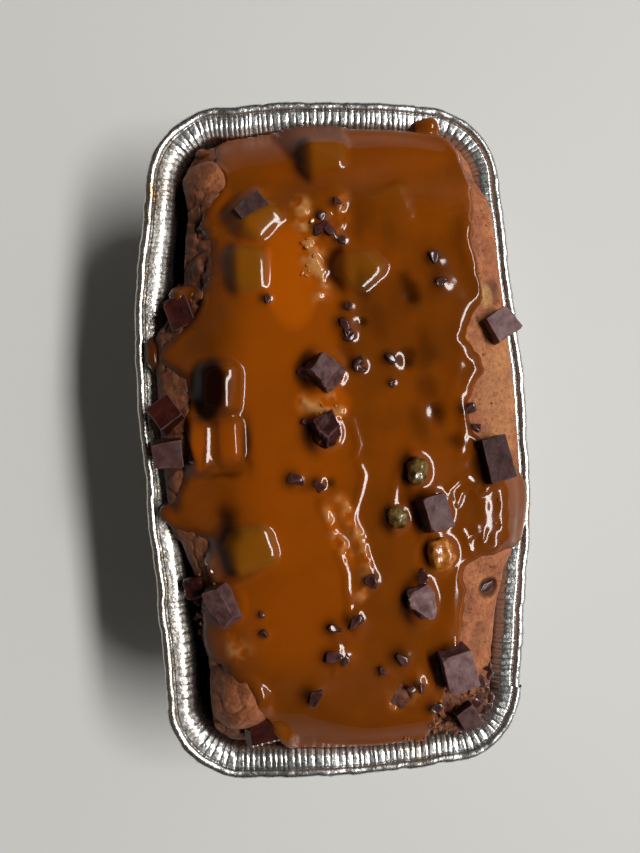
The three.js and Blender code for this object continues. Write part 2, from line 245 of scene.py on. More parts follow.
def split(x, y):
    """The long crack down the middle of the crust, 1 at its deepest."""
    line = 2 - 6 * np.sin((y - 20) / 32)
    return bell(x - line, 6) * between(y, -42, 56, 14)


def crust_relief(x, y):
    return (
        3 * mound(x, y, *BACK_LOBE, 9, 10)
        + 3.5 * mound(x, y, *FRONT_LOBE, 11, 11)
        - SPLIT_DEPTH * split(x, y)
        + 0.6 * np.sin(x / 7.5 + 1.3) * np.sin(y / 9.5 + 0.4)
        + 0.5 * np.sin(x / 13 - y / 17)
    )


def crust(x, y):
    """Height of the crust, carried on past the wall and down to the rim for what runs over it."""
    depth = inset(x, y) + overhang(x, y)
    edge = edge_level(x, y)
    crown = CROWN - CROWN_FALL * (y / MOUTH_HALF_LENGTH) ** 4
    shoulder = lerp(SHOULDER_LEFT, SHOULDER_RIGHT, smoothstep(x, -30, 10))
    rise = 1 - (1 - np.clip(depth / shoulder, 0, 1)) ** SHOULDER_POWER
    inside = TIN_HEIGHT + lerp(edge, crown, rise) + crust_relief(x, y) * smoothstep(depth, 0, 6)
    over_rim = TIN_HEIGHT + lerp(edge, -0.6, smoothstep(-depth, 0, RIM_WIDTH * 0.6))
    return np.where(depth < 0, over_rim, inside)


# ---- meshes


def finish_piece(name, bm, material):
    """Makes the object at the origin from a bmesh in millimetres, and lets it ride on the tin's body."""
    bmesh.ops.scale(bm, vec=(MM, MM, MM), verts=bm.verts)
    mesh = bpy.data.meshes.new(name)
    bm.to_mesh(mesh)
    bm.free()
    mesh.polygons.foreach_set("use_smooth", [True] * len(mesh.polygons))
    piece = bpy.data.objects.new(name, mesh)
    bpy.context.scene.collection.objects.link(piece)
    mesh.materials.append(material)
    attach(piece, "root")
    return piece


def coordinates(bm):
    return np.array([vertex.co[:] for vertex in bm.verts])


def place_vertices(bm, x, y, z):
    for vertex, co in zip(bm.verts, np.stack([x, y, z], axis=1)):
        vertex.co = co


def parametric_grid(columns, rows, place):
    """A grid rolled up by place(u, v) into a closed skin; the seam and the poles are welded."""
    bm = bmesh.new()
    bmesh.ops.create_grid(bm, x_segments=columns, y_segments=rows, size=0.5)
    flat = coordinates(bm)
    place_vertices(bm, *place(flat[:, 0] + 0.5, flat[:, 1] + 0.5))
    bmesh.ops.remove_doubles(bm, verts=bm.verts, dist=WELD)
    bmesh.ops.recalc_face_normals(bm, faces=bm.faces)
    return bm


# ---- materials


def linear(colour):
    """Linear red, green, blue and alpha of a hex colour, or of a grey given as a number."""
    if not isinstance(colour, str):
        return (colour, colour, colour, 1)
    channels = [int(colour[i:i + 2], 16) / 255 for i in (1, 3, 5)]
    return (*[c / 12.92 if c <= 0.04045 else ((c + 0.055) / 1.055) ** 2.4 for c in channels], 1.0)


class Nodes:
    """Adds nodes to a tree. A colour is a socket, a hex text or a grey between 0 and 1."""

    def __init__(self, tree, coordinate):
        self.tree = tree
        self.place = self.add("ShaderNodeTexCoord").outputs[coordinate]

    def add(self, kind, settings=None, **links):
        """Adds a node, sets its properties and unlinked sockets, and links the named sockets."""
        node = self.tree.nodes.new(kind)
        for key, value in (settings or {}).items():
            if isinstance(key, int) or key in node.inputs:
                node.inputs[key].default_value = value
            else:
                setattr(node, key, value)
        for key, source in links.items():
            self.tree.links.new(source, node.inputs[int(key[1:]) if key[0] == "_" else key])
        return node

    def ramp(self, source, stops):
        node = self.add("ShaderNodeValToRGB", _0=source)
        elements = node.color_ramp.elements
        while len(elements) < len(stops):
            elements.new(0.5)
        for element, (position, colour) in zip(elements, stops):
            element.position = position
            element.color = linear(colour)
        return node.outputs["Color"]

    def speckle(self, size, detail=3, roughness=0.6):
        """Noise whose features are about one size apart, in millimetres."""
        settings = {"Scale": 1 / (size * MM), "Detail": detail, "Roughness": roughness}
        return self.add("ShaderNodeTexNoise", settings, Vector=self.place).outputs["Fac"]

    def attribute(self, name, output="Fac"):
        return self.add("ShaderNodeAttribute", {"attribute_name": name}).outputs[output]

    def channels(self, name):
        """Red, green and blue of a colour attribute."""
        return self.add("ShaderNodeSeparateColor", Color=self.attribute(name, "Color")).outputs

    def maths(self, operation, source, *numbers):
        settings = {"operation": operation, **dict(enumerate(numbers, 1))}
        return self.add("ShaderNodeMath", settings, _0=source).outputs[0]

    def mix(self, share, a, b, blend="MIX"):
        """Mixes two colours; the share is a socket or a number."""
        node = self.add("ShaderNodeMix", {"data_type": "RGBA", "blend_type": blend})
        for index, value in ((0, share), (6, a), (7, b)):
            if hasattr(value, "links"):
                self.tree.links.new(value, node.inputs[index])
            else:
                node.inputs[index].default_value = linear(value) if index else value
        return node.outputs[2]

    def multiply(self, a, b):
        return self.mix(1.0, a, b, "MULTIPLY")

    def bump(self, height, distance, strength, below=None):
        node = self.add("ShaderNodeBump", {"Strength": strength, "Distance": distance * MM}, Height=height)
        if below is not None:
            self.tree.links.new(below, node.inputs["Normal"])
        return node.outputs["Normal"]


class Surface(Nodes):
    """A material; constants are set on its shader's own sockets."""

    def __init__(self, name, constants):
        self.material = bpy.data.materials.new(name)
        self.material.use_nodes = True
        super().__init__(self.material.node_tree, "Object")
        self.sockets = self.tree.nodes["Principled BSDF"].inputs
        for socket, value in constants.items():
            self.sockets[socket].default_value = value

    def feed(self, socket, source):
        self.tree.links.new(source, self.sockets[socket])


def rolled_foil():
    # Bright cold-rolled aluminium foil pressed into a tin: mirror-like flats between fine creases.
    foil = Surface("rolled_aluminium_foil", {"Metallic": 1.0})
    creases = foil.speckle(1.1, detail=4, roughness=0.7)
    metal = foil.ramp(foil.speckle(14), [(0.3, "#d2d2cf"), (0.7, "#ececea")])
    foil.feed("Base Color", foil.mix(foil.attribute("stain"), metal, "#a98a5c"))
    foil.feed("Roughness", foil.ramp(creases, [(0.3, 0.22), (0.75, 0.36)]))
    relief = foil.bump(foil.speckle(5, detail=2), 0.5, 0.5)
    foil.feed("Normal", foil.bump(creases, 0.16, 0.7, relief))
    return foil.material


def baked_crust():
    # Banana bread crust: browned sugars over a fine open crumb, matt with a faint greasy sheen.
    bread = Surface("baked_banana_bread_crust", {
        "Roughness": 0.62, "Specular IOR Level": 0.4, "Subsurface Weight": 0.12,
        "Subsurface Radius": (1.0, 0.45, 0.25), "Subsurface Scale": 0.8 * MM})
    crumb = bread.speckle(1.6, detail=5, roughness=0.7)
    pores = bread.add("ShaderNodeTexVoronoi", {"Scale": 1 / (1.5 * MM)}, Vector=bread.place)
    pits = bread.ramp(pores.outputs["Distance"], [(0.05, 0.45), (0.3, 1.0)])
    tone = bread.channels("tone")
    colour = bread.ramp(bread.speckle(9, detail=4), [(0.25, "#86492a"), (0.5, "#a8623a"), (0.78, "#cb8450")])
    # The red of the tone: browning, with painted shade in the cracks and pits.
    colour = bread.mix(tone["Red"], colour, "#4a2412")
    colour = bread.mix(bread.attribute("browned"), colour, "#3c1c10")
    colour = bread.mix(tone["Green"], colour, "#d9a765")
    colour = bread.multiply(colour, bread.ramp(crumb, [(0.32, 0.55), (0.5, 0.95), (0.7, 1.2)]))
    bread.feed("Base Color", bread.mix(0.6, colour, bread.multiply(colour, pits)))
    bread.feed("Normal", bread.bump(pits, 0.4, 0.6, bread.bump(crumb, 0.8, 0.7)))
    return bread.material


def poured_caramel():
    # Cooked sugar and cream, poured warm: wet gloss over a deep, slightly cloudy amber.
    caramel = Surface("poured_caramel_sauce", {
        "IOR": 1.46, "Specular IOR Level": 0.3, "Subsurface Weight": 0.3,
        "Subsurface Radius": (1.0, 0.35, 0.08), "Subsurface Scale": 1.6 * MM})
    sauce = caramel.channels("sauce")
    swirl = caramel.ramp(caramel.speckle(7), [(0.4, 0), (0.8, 0.3)])
    amber = caramel.ramp(caramel.speckle(30, detail=2), [(0.35, "#6f3708"), (0.62, "#844004")])
    # The red of the sauce darkens it to near black: painted shade beside chunks and chips and in hollows, and
    # the dark of thin sauce over dark crust and chocolate.
    for share, tint in ((swirl, "#5c2904"), (sauce["Blue"], "#a85004"), (sauce["Green"], "#7e4a0c"),
                        (caramel.attribute("cream"), "#c08a4e"), (sauce["Red"], "#180602")):
        amber = caramel.mix(share, amber, tint)
    caramel.feed("Base Color", amber)
    caramel.feed("Roughness", caramel.ramp(caramel.attribute("dull"), [(0.1, 0.1), (0.7, 0.45)]))
    caramel.feed("Normal", caramel.bump(caramel.speckle(3.5, detail=2), 0.05, 0.5))
    return caramel.material


def dark_chocolate(name, wet):
    # Dark chocolate chopped from a slab: cleaved faces with a grey-violet bloom, partly painted sheen, and
    # painted highlights along the edges; wet where caramel clings.
    chocolate = Surface(name, {"IOR": 1.5, "Specular IOR Level": 0.12,
                               "Coat Weight": 0.6 if wet else 0.0, "Coat Roughness": 0.12})
    patches = chocolate.speckle(3.5, detail=5, roughness=0.65)
    grain = chocolate.speckle(0.9, detail=4)
    dark, light = ("#180503", "#4a1a12") if wet else ("#1a0705", "#40160f")
    colour = chocolate.ramp(patches, [(0.3, dark), (0.7, light)])
    haze = chocolate.ramp(patches, [(0.3, "#5a3a3c"), (0.62, "#8c706e")])
    colour = chocolate.mix(chocolate.attribute("bloom"), colour, haze)
    # Painted highlight along the chopped edges.
    edge_highlight = chocolate.maths("MULTIPLY", chocolate.attribute("edge"), 0.1 if wet else 0.2)
    chocolate.feed("Base Color", chocolate.mix(edge_highlight, colour, "#8a6a66"))
    chocolate.feed("Roughness", chocolate.ramp(grain, [(0.3, 0.4), (0.7, 0.55)]))
    chocolate.feed("Normal", chocolate.bump(grain, 0.08, 0.5, chocolate.bump(patches, 0.3, 0.5)))
    return chocolate.material


def candied_walnut():
    # Walnut pieces soaked in caramel: tan, translucent at the edges, with a wet skin.
    walnut = Surface("caramel_soaked_walnut", {
        "Roughness": 0.35, "Subsurface Weight": 0.3, "Subsurface Radius": (1.0, 0.5, 0.2),
        "Subsurface Scale": 1.5 * MM, "Coat Weight": 0.8, "Coat Roughness": 0.08})
    vein = walnut.speckle(2.4, detail=4)
    skin = walnut.ramp(vein, [(0.35, "#2e2008"), (0.5, "#6c5424"), (0.75, "#8f7a44")])
    meat = walnut.ramp(vein, [(0.3, "#8f4504"), (0.55, "#bd701e"), (0.8, "#e0b070")])
    walnut.feed("Base Color", walnut.mix(walnut.attribute("pale"), skin, meat))
    walnut.feed("Normal", walnut.bump(vein, 0.6, 0.6))
    return walnut.material


# ---- the foil tin


def pleats(u, z, length):
    """Depth of the pressed pleats, between 0 and 1, at shares u round the wall and height z."""
    rng = random.Random(7)
    count = round(length / PLEAT)
    widths = np.array([rng.uniform(0.6, 1.4) for _ in range(count)])
    edges = np.concatenate([[0], np.cumsum(widths)]) / widths.sum()
    depths = np.array([rng.uniform(0.4, 1.0) for _ in range(count)])
    skews = np.array([rng.uniform(0.25, 0.75) for _ in range(count)])
    drift = 0.9 / length * waves(u * length, z, 11, 3) * np.sin(np.pi * u) ** 0.2
    s = np.mod(u + drift, 1)
    index = np.clip(np.searchsorted(edges, s, side="right") - 1, 0, count - 1)
    t = (s - edges[index]) / (edges[index + 1] - edges[index])
    ridge = np.where(t < skews[index], t / skews[index], (1 - t) / (1 - skews[index]))
    # Mostly flat with a narrow crease between one pleat and the next.
    return depths[index] * lerp(0.45 * ridge, 1, smoothstep(ridge, 0, 0.45))


def tin_section():
    """Rows of the section, from the middle of the base up outside, round the bead and down inside.

    Each row: share of the way out, offset from the mouth line, height, depth of the pleats,
    how far the pleats stand up instead of out, and the mesh rows to the next one.
    """
    centre_out = RIM_WIDTH - BEAD_RADIUS - 0.35
    centre_up = TIN_HEIGHT - BEAD_RADIUS
    bead = []
    for degrees in range(-120, 181, 30):
        angle = math.radians(degrees)
        out, up = centre_out + BEAD_RADIUS * math.cos(angle), centre_up + BEAD_RADIUS * math.sin(angle)
        bead.append((1, out, up, 0.1, 0, 1))
    crest_out, crest_up = FLANGE_TOP
    bend_out, bend_up = FLANGE_BEND
    foot_out, foot_up = FLANGE_FOOT
    return [
        (0, -1.3, 0, 0, 0, 1), (0.6, -1.3, 0, 0, 0, 1), (1, -1.3, 0, 0, 0, 1),
        (1, 0.5, 1.4, 0.3, 0, 1), (1, 0.4, 6, 0.8, 0, 2),
        (1, foot_out + FOIL, foot_up - 0.6, 0.9, 0.2, 1), (1, bend_out + FOIL, bend_up - 0.4, 0.9, 0.8, 1),
        (1, crest_out + 0.7, crest_up - 0.8, 0.2, 0.6, 1),
        *bead,
        (1, crest_out + 0.2, crest_up - 0.1, 0.1, 0.9, 1), (1, crest_out - 0.5, crest_up - 0.2, 0.12, 0.9, 2),
        (1, bend_out + 0.3, bend_up, 0.3, 0.9, 1), (1, bend_out - 0.2, bend_up - 0.25, 0.8, 0.8, 3),
        (1, foot_out + 0.2, foot_up + 0.3, 0.8, 0.6, 1),
        (1, foot_out, foot_up - 0.4, 0.8, 0.2, 3),
        (1, foot_out + 0.4, foot_up - 8, 1, 0, 4), (1, 0.2, 6, 0.8, 0, 1), (1, 0.3, 1.6, 0.3, 0, 1),
        (1, -1.1, FOIL, 0, 0, 1), (0.6, -1.1, FOIL, 0, 0, 1), (0, -1.1, FOIL, 0, 0, 0),
    ]


def stain_rim(bm):
    """Caramel smears on the left, front and right of the rim."""
    stain = bm.verts.layers.float.new("stain")
    for vertex in bm.verts:
        x, y, z = vertex.co
        # Where, strength, distance from the middle of the smear and its half length.
        smears = [
            (x < -50 and z > LEDGE - 2, 1, y - 78, 16), (x < -50 and z > LEDGE - 6, 0.6, y - 44, 22),
            (x < -48 and z > LEDGE - 6, 0.5, 0, 1), (y < -97 and z > LEDGE - 4, 0.7, x - 22, 12),
            (x > 56 and z > LEDGE - 4, 0.9, y + 27, 9),
        ]
        strength = max(here * weight * max(0, 1 - abs(away) / half) for here, weight, away, half in smears)
        vertex[stain] = strength * (0.5 + 0.5 * noise.noise(Vector((x, y, z)) / 3.5))


def foil_tin():
    section = tin_section()
    steps = np.concatenate([[0], np.cumsum([row[5] for row in section[:-1]])])
    rows = int(steps[-1])
    columns = 2200
    length = 2 * (TIN_LENGTH + TIN_WIDTH)
    least, most = (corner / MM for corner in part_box("foil_tin"))

    def place(u, v):
        level = np.round(v * rows, 3)
        share, offset, z, crease, stand = (
            np.interp(level, steps, [row[i] for row in section]) for i in range(5))
        x, y = wall(u, z, offset)
        # Unit vector straight out from the wall, from a second ring a millimetre out.
        further_x, further_y = wall(u, z, offset + 1)
        out_x, out_y = further_x - x, further_y - y
        around = u * length
        high = smoothstep(z, 40, 57)
        pressed_flat = smoothstep(-x, 45, 52) * between(y, -88, 84, 12) * high
        fold = crease * PLEAT_DEPTH * (1 - 0.75 * pressed_flat) * (pleats(u, z, length) - 0.4)
        level_line = z * 0
        dent = 0.3 * waves(around, z, 17, 11) * smoothstep(z, 4, 20)
        dent += 0.35 * high * waves(around, level_line, 9, 5)
        # The wall stands clear of the bread.
        dent += 0.5 * smoothstep(z, 4, 12) * (1 - smoothstep(z, 57, 60))
        on_bead = smoothstep(offset, 2.9, 3.6) * high
        crimp = 0.13 * on_bead * (waves(around + 2 * offset, z, 1.7, 23) + waves(around, offset, 4.5, 9))
        push = (dent - fold * np.sqrt(1 - stand ** 2) + crimp) * smoothstep(share, 0.9, 1)
        ruffle = 0.3 * waves(around, level_line, 21, 31) + 0.16 * on_bead * waves(around, offset, 2.6, 13)
        x = np.clip((x + out_x * push) * share, least.x, most.x)
        y = np.clip((y + out_y * push) * share, least.y, most.y)
        return x, y, np.clip(z + (fold * stand + high * ruffle) - 0.45 * high, 0, TIN_HEIGHT)

    bm = parametric_grid(columns, rows, place)
    stain_rim(bm)
    return bm


# ---- the caramel's outline

# Edge of the poured caramel, round from the front right corner.
CARAMEL_EDGE = [
    (23, -100), (26.5, -80), (34, -62), (36.5, -41), (47, -38), (60, -34), (61.5, -22), (57, -13), (46, -5),
    (39.5, 2), (39, 11), (44.6, 19.5), (39, 30.5), (44.6, 43.2), (42.6, 60), (42.5, 82), (38.5, 95.5),
    (26, 103.5), (8, 104), (-12, 104), (-28, 101.5), (-35.6, 92.5), (-32.6, 82), (-33.5, 76), (-39.5, 70),
    (-40.8, 65.5), (-38.2, 61.3), (-36.6, 55.5), (-37.4, 50), (-40.2, 46), (-43.5, 37), (-54, 28.5),
    (-52, 23), (-45.5, 17), (-46, 7), (-46.5, -7), (-50, -16), (-56, -20.5), (-55, -25), (-49, -27),
    (-42, -28.5), (-41, -37), (-43.5, -49), (-44.5, -58), (-43, -66.5), (-36, -70), (-29, -74), (-26, -84),
    (-19.5, -99), (2, -104), (14, -104),
]
# Separate drops and runs of caramel: middle, half width, half length.
CARAMEL_DROPS = [
    (-47.0, 45.4, 3.9, 4.0), (-57.3, 28.4, 2.4, 4.9), (-39.9, 91.9, 3.0, 2.8), (33.0, 98.4, 5.6, 4.4),
]
# Places where the bread shows through: middle, half width, half length.
BARE_PATCHES = [(15.2, -78.2, 2.4, 4.0), (-43.5, -44.5, 2.6, 3.4)]


def smooth_loop(points, steps=7):
    """A closed Catmull-Rom curve through the points."""
    p = np.array(points, float)
    before, after, beyond = np.roll(p, 1, 0), np.roll(p, -1, 0), np.roll(p, -2, 0)
    loop = []
    for t in np.arange(steps) / steps:
        loop.append(0.5 * (2 * p + (after - before) * t + (2 * before - 5 * p + 4 * after - beyond) * t ** 2
                           + (3 * p - before - 3 * after + beyond) * t ** 3))
    return np.stack(loop, axis=1).reshape(-1, 2)


def loop_distance(x, y, loop):
    """Signed distance to a closed loop, positive inside."""
    nearest = np.full(x.shape, 1e9)
    inside = np.zeros(x.shape, bool)
    for (ax, ay), (bx, by) in zip(loop, np.roll(loop, -1, 0)):
        ex, ey = bx - ax, by - ay
        t = np.clip(((x - ax) * ex + (y - ay) * ey) / (ex * ex + ey * ey + 1e-9), 0, 1)
        nearest = np.minimum(nearest, (x - ax - t * ex) ** 2 + (y - ay - t * ey) ** 2)
        if ay != by:
            inside ^= ((ay > y) != (by > y)) & (x < ax + (y - ay) / (by - ay) * ex)
    return np.sqrt(nearest) * np.where(inside, 1, -1)


def oval_distance(x, y, oval):
    """Rough signed distance to an oval, positive inside."""
    cx, cy, rx, ry = oval
    return (1 - np.hypot((x - cx) / rx, (y - cy) / ry)) * min(rx, ry)


def caramel_reach(x, y):
    """Distance in from the edge of the caramel, negative where the bread is bare."""
    wander_x = x + 1.3 * waves(x, y, 7, 41) + 0.5 * waves(x, y, 2.8, 43)
    wander_y = y + 1.3 * waves(x, y, 7, 42) + 0.5 * waves(x, y, 2.8, 44)
    reach = loop_distance(wander_x, wander_y, smooth_loop(CARAMEL_EDGE))
    for oval in CARAMEL_DROPS:
        reach = np.maximum(reach, oval_distance(wander_x, wander_y, oval))
    for oval in BARE_PATCHES:
        reach = np.minimum(reach, -oval_distance(wander_x, wander_y, oval))
    return reach


# ---- the loaf


def cracks(x, y, size, seed):
    """Thin branching lines of depth 1, about one size apart."""
    return bell(waves(x + 0.8 * waves(x, y, 2.3, seed + 1), y, size, seed), 0.09)


def furrow(x, y, lobe, rx, ry, breadth):
    """The groove round a lobe."""
    return bell(np.hypot((x - lobe[0]) / rx, (y - lobe[1]) / ry) - 1, breadth)


def imprint(x, y, centre, rx, ry):
    """A squarish mark, turned about 37 degrees."""
    along, across = x - centre[0], y - centre[1]
    return mound(along * 0.8 + across * 0.6, across * 0.8 - along * 0.6, 0, 0, rx, ry, 5)


def crumb_relief(x, y):
    """Fine unevenness of the crust."""
    lobes = np.maximum(mound(x, y, *BACK_LOBE, 10, 11), 0.4 * mound(x, y, *FRONT_LOBE, 11, 11))
    ridged = between(x, -52, -40, 3) * between(y, 42, 72, 5)
    crumbly = between(x, 22, 47, 4) * between(y, -98, -70, 5)
    left = smoothstep(-x, 30, 46)
    rugged = np.maximum(np.maximum(0.9 * lobes, ridged), np.maximum(0.8 * left, crumbly))
    pits = smoothstep(waves(x, y, 1.7, 8), 0.45, 0.9)
    crumpled = (1.2 * waves(x, y, 4.5, 18) + 0.9 * waves(x + 0.4 * y, y, 2.2, 19)
                - 1.5 * cracks(x, y, 5, 63) - 0.9)
    return (
        0.4 * waves(x, y, 7, 1) + 0.22 * waves(x, y, 3.2, 2) + 0.12 * waves(x, y, 1.3, 3) - 0.4 * pits
        + rugged * (0.5 * waves(x, y, 4.2, 6) + 0.4 * waves(x, y, 1.9, 7) - 1.0 * cracks(x, y, 6, 61))
        + ridged * crumpled
        + crumbly * (1.0 * waves(x, y, 3.4, 16) - 0.9 * cracks(x, y, 3.5, 71))
        - 0.9 * imprint(x, y, IMPRINT, 3.6, 4.6)
        - 2.2 * mound(x, y, *DEEP_PIT, 3.6, 3.2)
        - 0.5 * mound(x, y, *LONG_PIT, 3, 5.4)
        - 1.6 * furrow(x, y, BACK_LOBE, 9, 10, 0.12)
        - 1.2 * furrow(x, y, FRONT_LOBE, 11, 11, 0.1)
    )


def foil_face(z):
    """Offset of the foil's inner face from the mouth line: the wall, then the sloping flange."""
    offsets, heights = zip((0.2, 0), FLANGE_FOOT, FLANGE_BEND, FLANGE_TOP, (8, 65))
    return np.interp(z, heights, offsets)


def loaf_top(x, y):
    """Height of the baked surface with its crumb, rolled down at its own edge."""
    brink = TIN_HEIGHT + edge_level(x, y) - CRUST_ROUND
    stand_back = WALL_GAP + pull(x, y) - np.minimum(foil_face(brink), overhang(x, y))
    from_edge = np.clip(inset(x, y) - stand_back, 0, CRUST_ROUND)
    roll = CRUST_ROUND - np.sqrt(CRUST_ROUND ** 2 - (CRUST_ROUND - from_edge) ** 2)
    return crust(x, y) - roll + crumb_relief(x, y) * smoothstep(from_edge, 0, 2.5)


# Pale crumb on the crust: strength, middle, half sizes.
PALE_CRUMB = [(0.8, -8.4, 50.4, 4, 8.5), (0.5, 46.5, 41.5, 3, 4.5), (0.5, 2, -36, 5, 8), (0.2, 50, 12, 9, 22)]


def loaf_body():
    side_rows = 14
    dome_rows = 72
    rows = side_rows + dome_rows
    columns = 1000

    def place(u, v):
        level = np.round(v * rows)
        mouth_x, mouth_y = wall(u, u * 0 + TIN_HEIGHT, u * 0)
        top = TIN_HEIGHT + edge_level(mouth_x, mouth_y) - CRUST_ROUND
        spread = overhang(mouth_x, mouth_y)
        # The side runs from the middle of the base to just under the crust.
        steps = [0, 1, 2, 3, side_rows - 8, side_rows]
        share = np.interp(level, steps, [0, 0.6, 1, 1, 1, 1])
        rise = np.interp(level, steps, [0, 0, 0, 0.04, 0.6, 1])
        z = lerp(1.1, top, rise)
        tuck = np.where(level <= 2, 2.0, 0)
        offset = np.minimum(np.minimum(foil_face(z), foil_face(top)), spread) - WALL_GAP - tuck
        x, y = wall(u, z, offset)
        x = x - np.sign(x) * smoothstep(z, 5, LEDGE) * pull(x, y)
        side = (x * share, y * share, z)
        # The dome closes on a line down the middle, with the rows close together near the edge.
        edge_x, edge_y = wall(u, top, np.minimum(foil_face(top), spread) - WALL_GAP)
        edge_x = edge_x - np.sign(edge_x) * smoothstep(top, 5, LEDGE) * pull(edge_x, edge_y)
        across = np.clip((level - side_rows) / dome_rows, 0, 1)
        inward = 0.35 * across + 0.65 * across ** 2.2
        spine_reach = MOUTH_HALF_LENGTH - MOUTH_HALF_WIDTH
        spine_y = np.clip(edge_y, -spine_reach, spine_reach)
        dome_x = edge_x * (1 - inward)
        dome_y = lerp(edge_y, spine_y, inward)
        # Under the caramel the crust lies a little lower.
        sunk = 1.2 * smoothstep(caramel_reach(dome_x, dome_y), 0.6, 2.5)
        dome = (dome_x, dome_y, np.where(level <= side_rows, top, loaf_top(dome_x, dome_y) - sunk))
        return tuple(np.where(level < side_rows, a, b) for a, b in zip(side, dome))

    bm = parametric_grid(columns, rows, place)
    tone = bm.verts.layers.float_color.new("tone")
    co = coordinates(bm)
    x, y, z = co[:, 0], co[:, 1], co[:, 2]
    # The red of the tone darkens the crust: painted shade in the cracks and the pits; darker toward the left,
    # down the sides below the crust's edge, at the front right corner, in the imprint and at random.
    left = smoothstep(-x, 10, 48)
    front = 1.4 * between(x, 15, 60, 12) * smoothstep(-y, 66, 82)
    pits = np.maximum(mound(x, y, *DEEP_PIT, 4.2, 3.8), 0.35 * mound(x, y, *LONG_PIT, 3.4, 6))
    stain = 0.5 * imprint(x, y, IMPRINT_DARK, 3.2, 4.2)
    down_side = 1 - smoothstep(z - TIN_HEIGHT - edge_level(x, y), -4, 1)
    crack_shade = 0.5 * left * cracks(x, y, 6, 61)
    browned = 0.72 * left + 0.6 * front + pits + stain + crack_shade + 0.2 * waves(x, y, 6, 15) + down_side
    browned = browned - 0.35 * mound(x, y, *FRONT_LOBE, 11, 11) - 0.2 * mound(x, y, *BACK_LOBE, 10, 11)
    pale = sum(strength * mound(x, y, *oval) for strength, *oval in PALE_CRUMB)
    for vertex, brown, light in zip(bm.verts, np.clip(browned, 0, 1), np.clip(pale, 0, 1)):
        vertex[tone] = (brown, light, 0, 1)
    return bm


# ---- the caramel


def chunks(rows):
    """A table by the number of the chocolate chunk, turned into one by its name."""
    return {f"chocolate_chunk_{number:02}": row for number, row in rows.items()}


# Chunks that the caramel covers wholly or in part: steepness of the shaded flank, how gently it falls
# on the other side, then how olive, how glowing and how much painted shade the coat gets on its shaded side.
COATED = chunks({
    2: (1.0, 0.6, 0.55, 0.0, 0.95), 3: (1.0, 0.6, 0.8, 0.0, 0.5), 4: (1.1, 1.0, 1.0, 0.1, 0.7),
    5: (1.0, 1.0, 0.9, 0.0, 0.95), 6: (0.6, 0.6, 0.6, 0.0, 0.2), 8: (1.2, 1.0, 0.0, 0.0, 1.0),
    11: (1.2, 1.0, 0.0, 0.35, 0.9), 12: (1.2, 0.0, 0.0, 0.35, 0.3), 18: (0.8, 0.8, 1.0, 0.1, 1.0),
    19: (1.0, 0.6, 0.2, 0.0, 1.0), 21: (0.8, 0.6, 0.2, 0.0, 0.3),
})
# Where the coat thins out on those it covers in part: direction in degrees from +X, and how much of
# the piece stays bare on that side.
PARTLY_BARE = chunks({3: (120, 0.65), 5: (100, 0.25), 19: (270, 0.6)})
# Grey bloom on the bare pieces, partly real bloom and partly painted sheen, 0 to 1.
BLOOM_AND_SHEEN = chunks({1: 0.85, 7: 0.35, 10: 0.12, 13: 0.45, 15: 1.0, 16: 0.85, 17: 0.35, 20: 0.05, 22: 0.25})
# Pieces chopped to odd shapes: how many corners are off; and those with crumbling faces.
BROKEN = chunks({7: 5, 9: 0, 10: 0, 14: 0, 15: 4, 17: 3, 20: 6})
CRUMBLY = chunks({7: True, 15: True, 20: True})
# Where the sauce lies dark, over a thinly coated chunk, along the split and as painted shade beside lumps:
# middle, half sizes, strength.
DARK_SPOTS = [
    (-38.6, 15.4, 4.8, 7.8, 3.0), (-35, -9.6, 5.4, 1.3, 0.7), (-27.8, -1, 1.5, 8.4, 0.85),
    (-40.2, -1, 0.8, 8, 0.7), (-34, -25, 3.4, 7, 0.9), (-49, 40, 5, 7, 0.8), (8, 44, 3, 6, 0.5),
    (41, -3, 4, 4, 0.5), (-40, 30, 5, 5, 0.3), (21.4, 43, 3, 5, 0.75), (26, 13, 3, 5, 0.45),
    (29, 6.5, 3, 4, 0.7), (33.5, -2, 3.4, 3, 0.6), (20, 23, 4, 3, 0.6), (-47, -33, 4, 8, 0.45),
    (16.5, 61, 2.4, 6, 0.25), (8, 66, 2.6, 9, 0.3), (-44, -42, 5, 6, 0.5), (31, 47, 3.6, 7, 0.4),
    (26, 25, 3.4, 8, 0.4), (23, 3, 3, 6, 0.4), (-2, 63.4, 4, 3.4, 0.5), (3.4, 25, 2.6, 4, 0.4),
    (-9, -14, 5.4, 2.2, 0.5), (-3.4, -60, 2.6, 7, 0.35), (12, 33, 3, 7, 0.3), (19, -17, 3, 6, 0.4),
]
# Where it glows over pale crumb: strength, middle, half sizes.
BRIGHT_SPOTS = [
    (0.9, -13, 48, 9, 17), (0.3, -41.5, -2, 3.4, 7), (0.35, -33.5, -1, 4.2, 7), (0.25, 4, 86, 40, 12),
    (0.8, -5, 10, 9, 6), (0.7, 26, -36, 7, 6), (0.4, -40, -37, 4, 7),
]
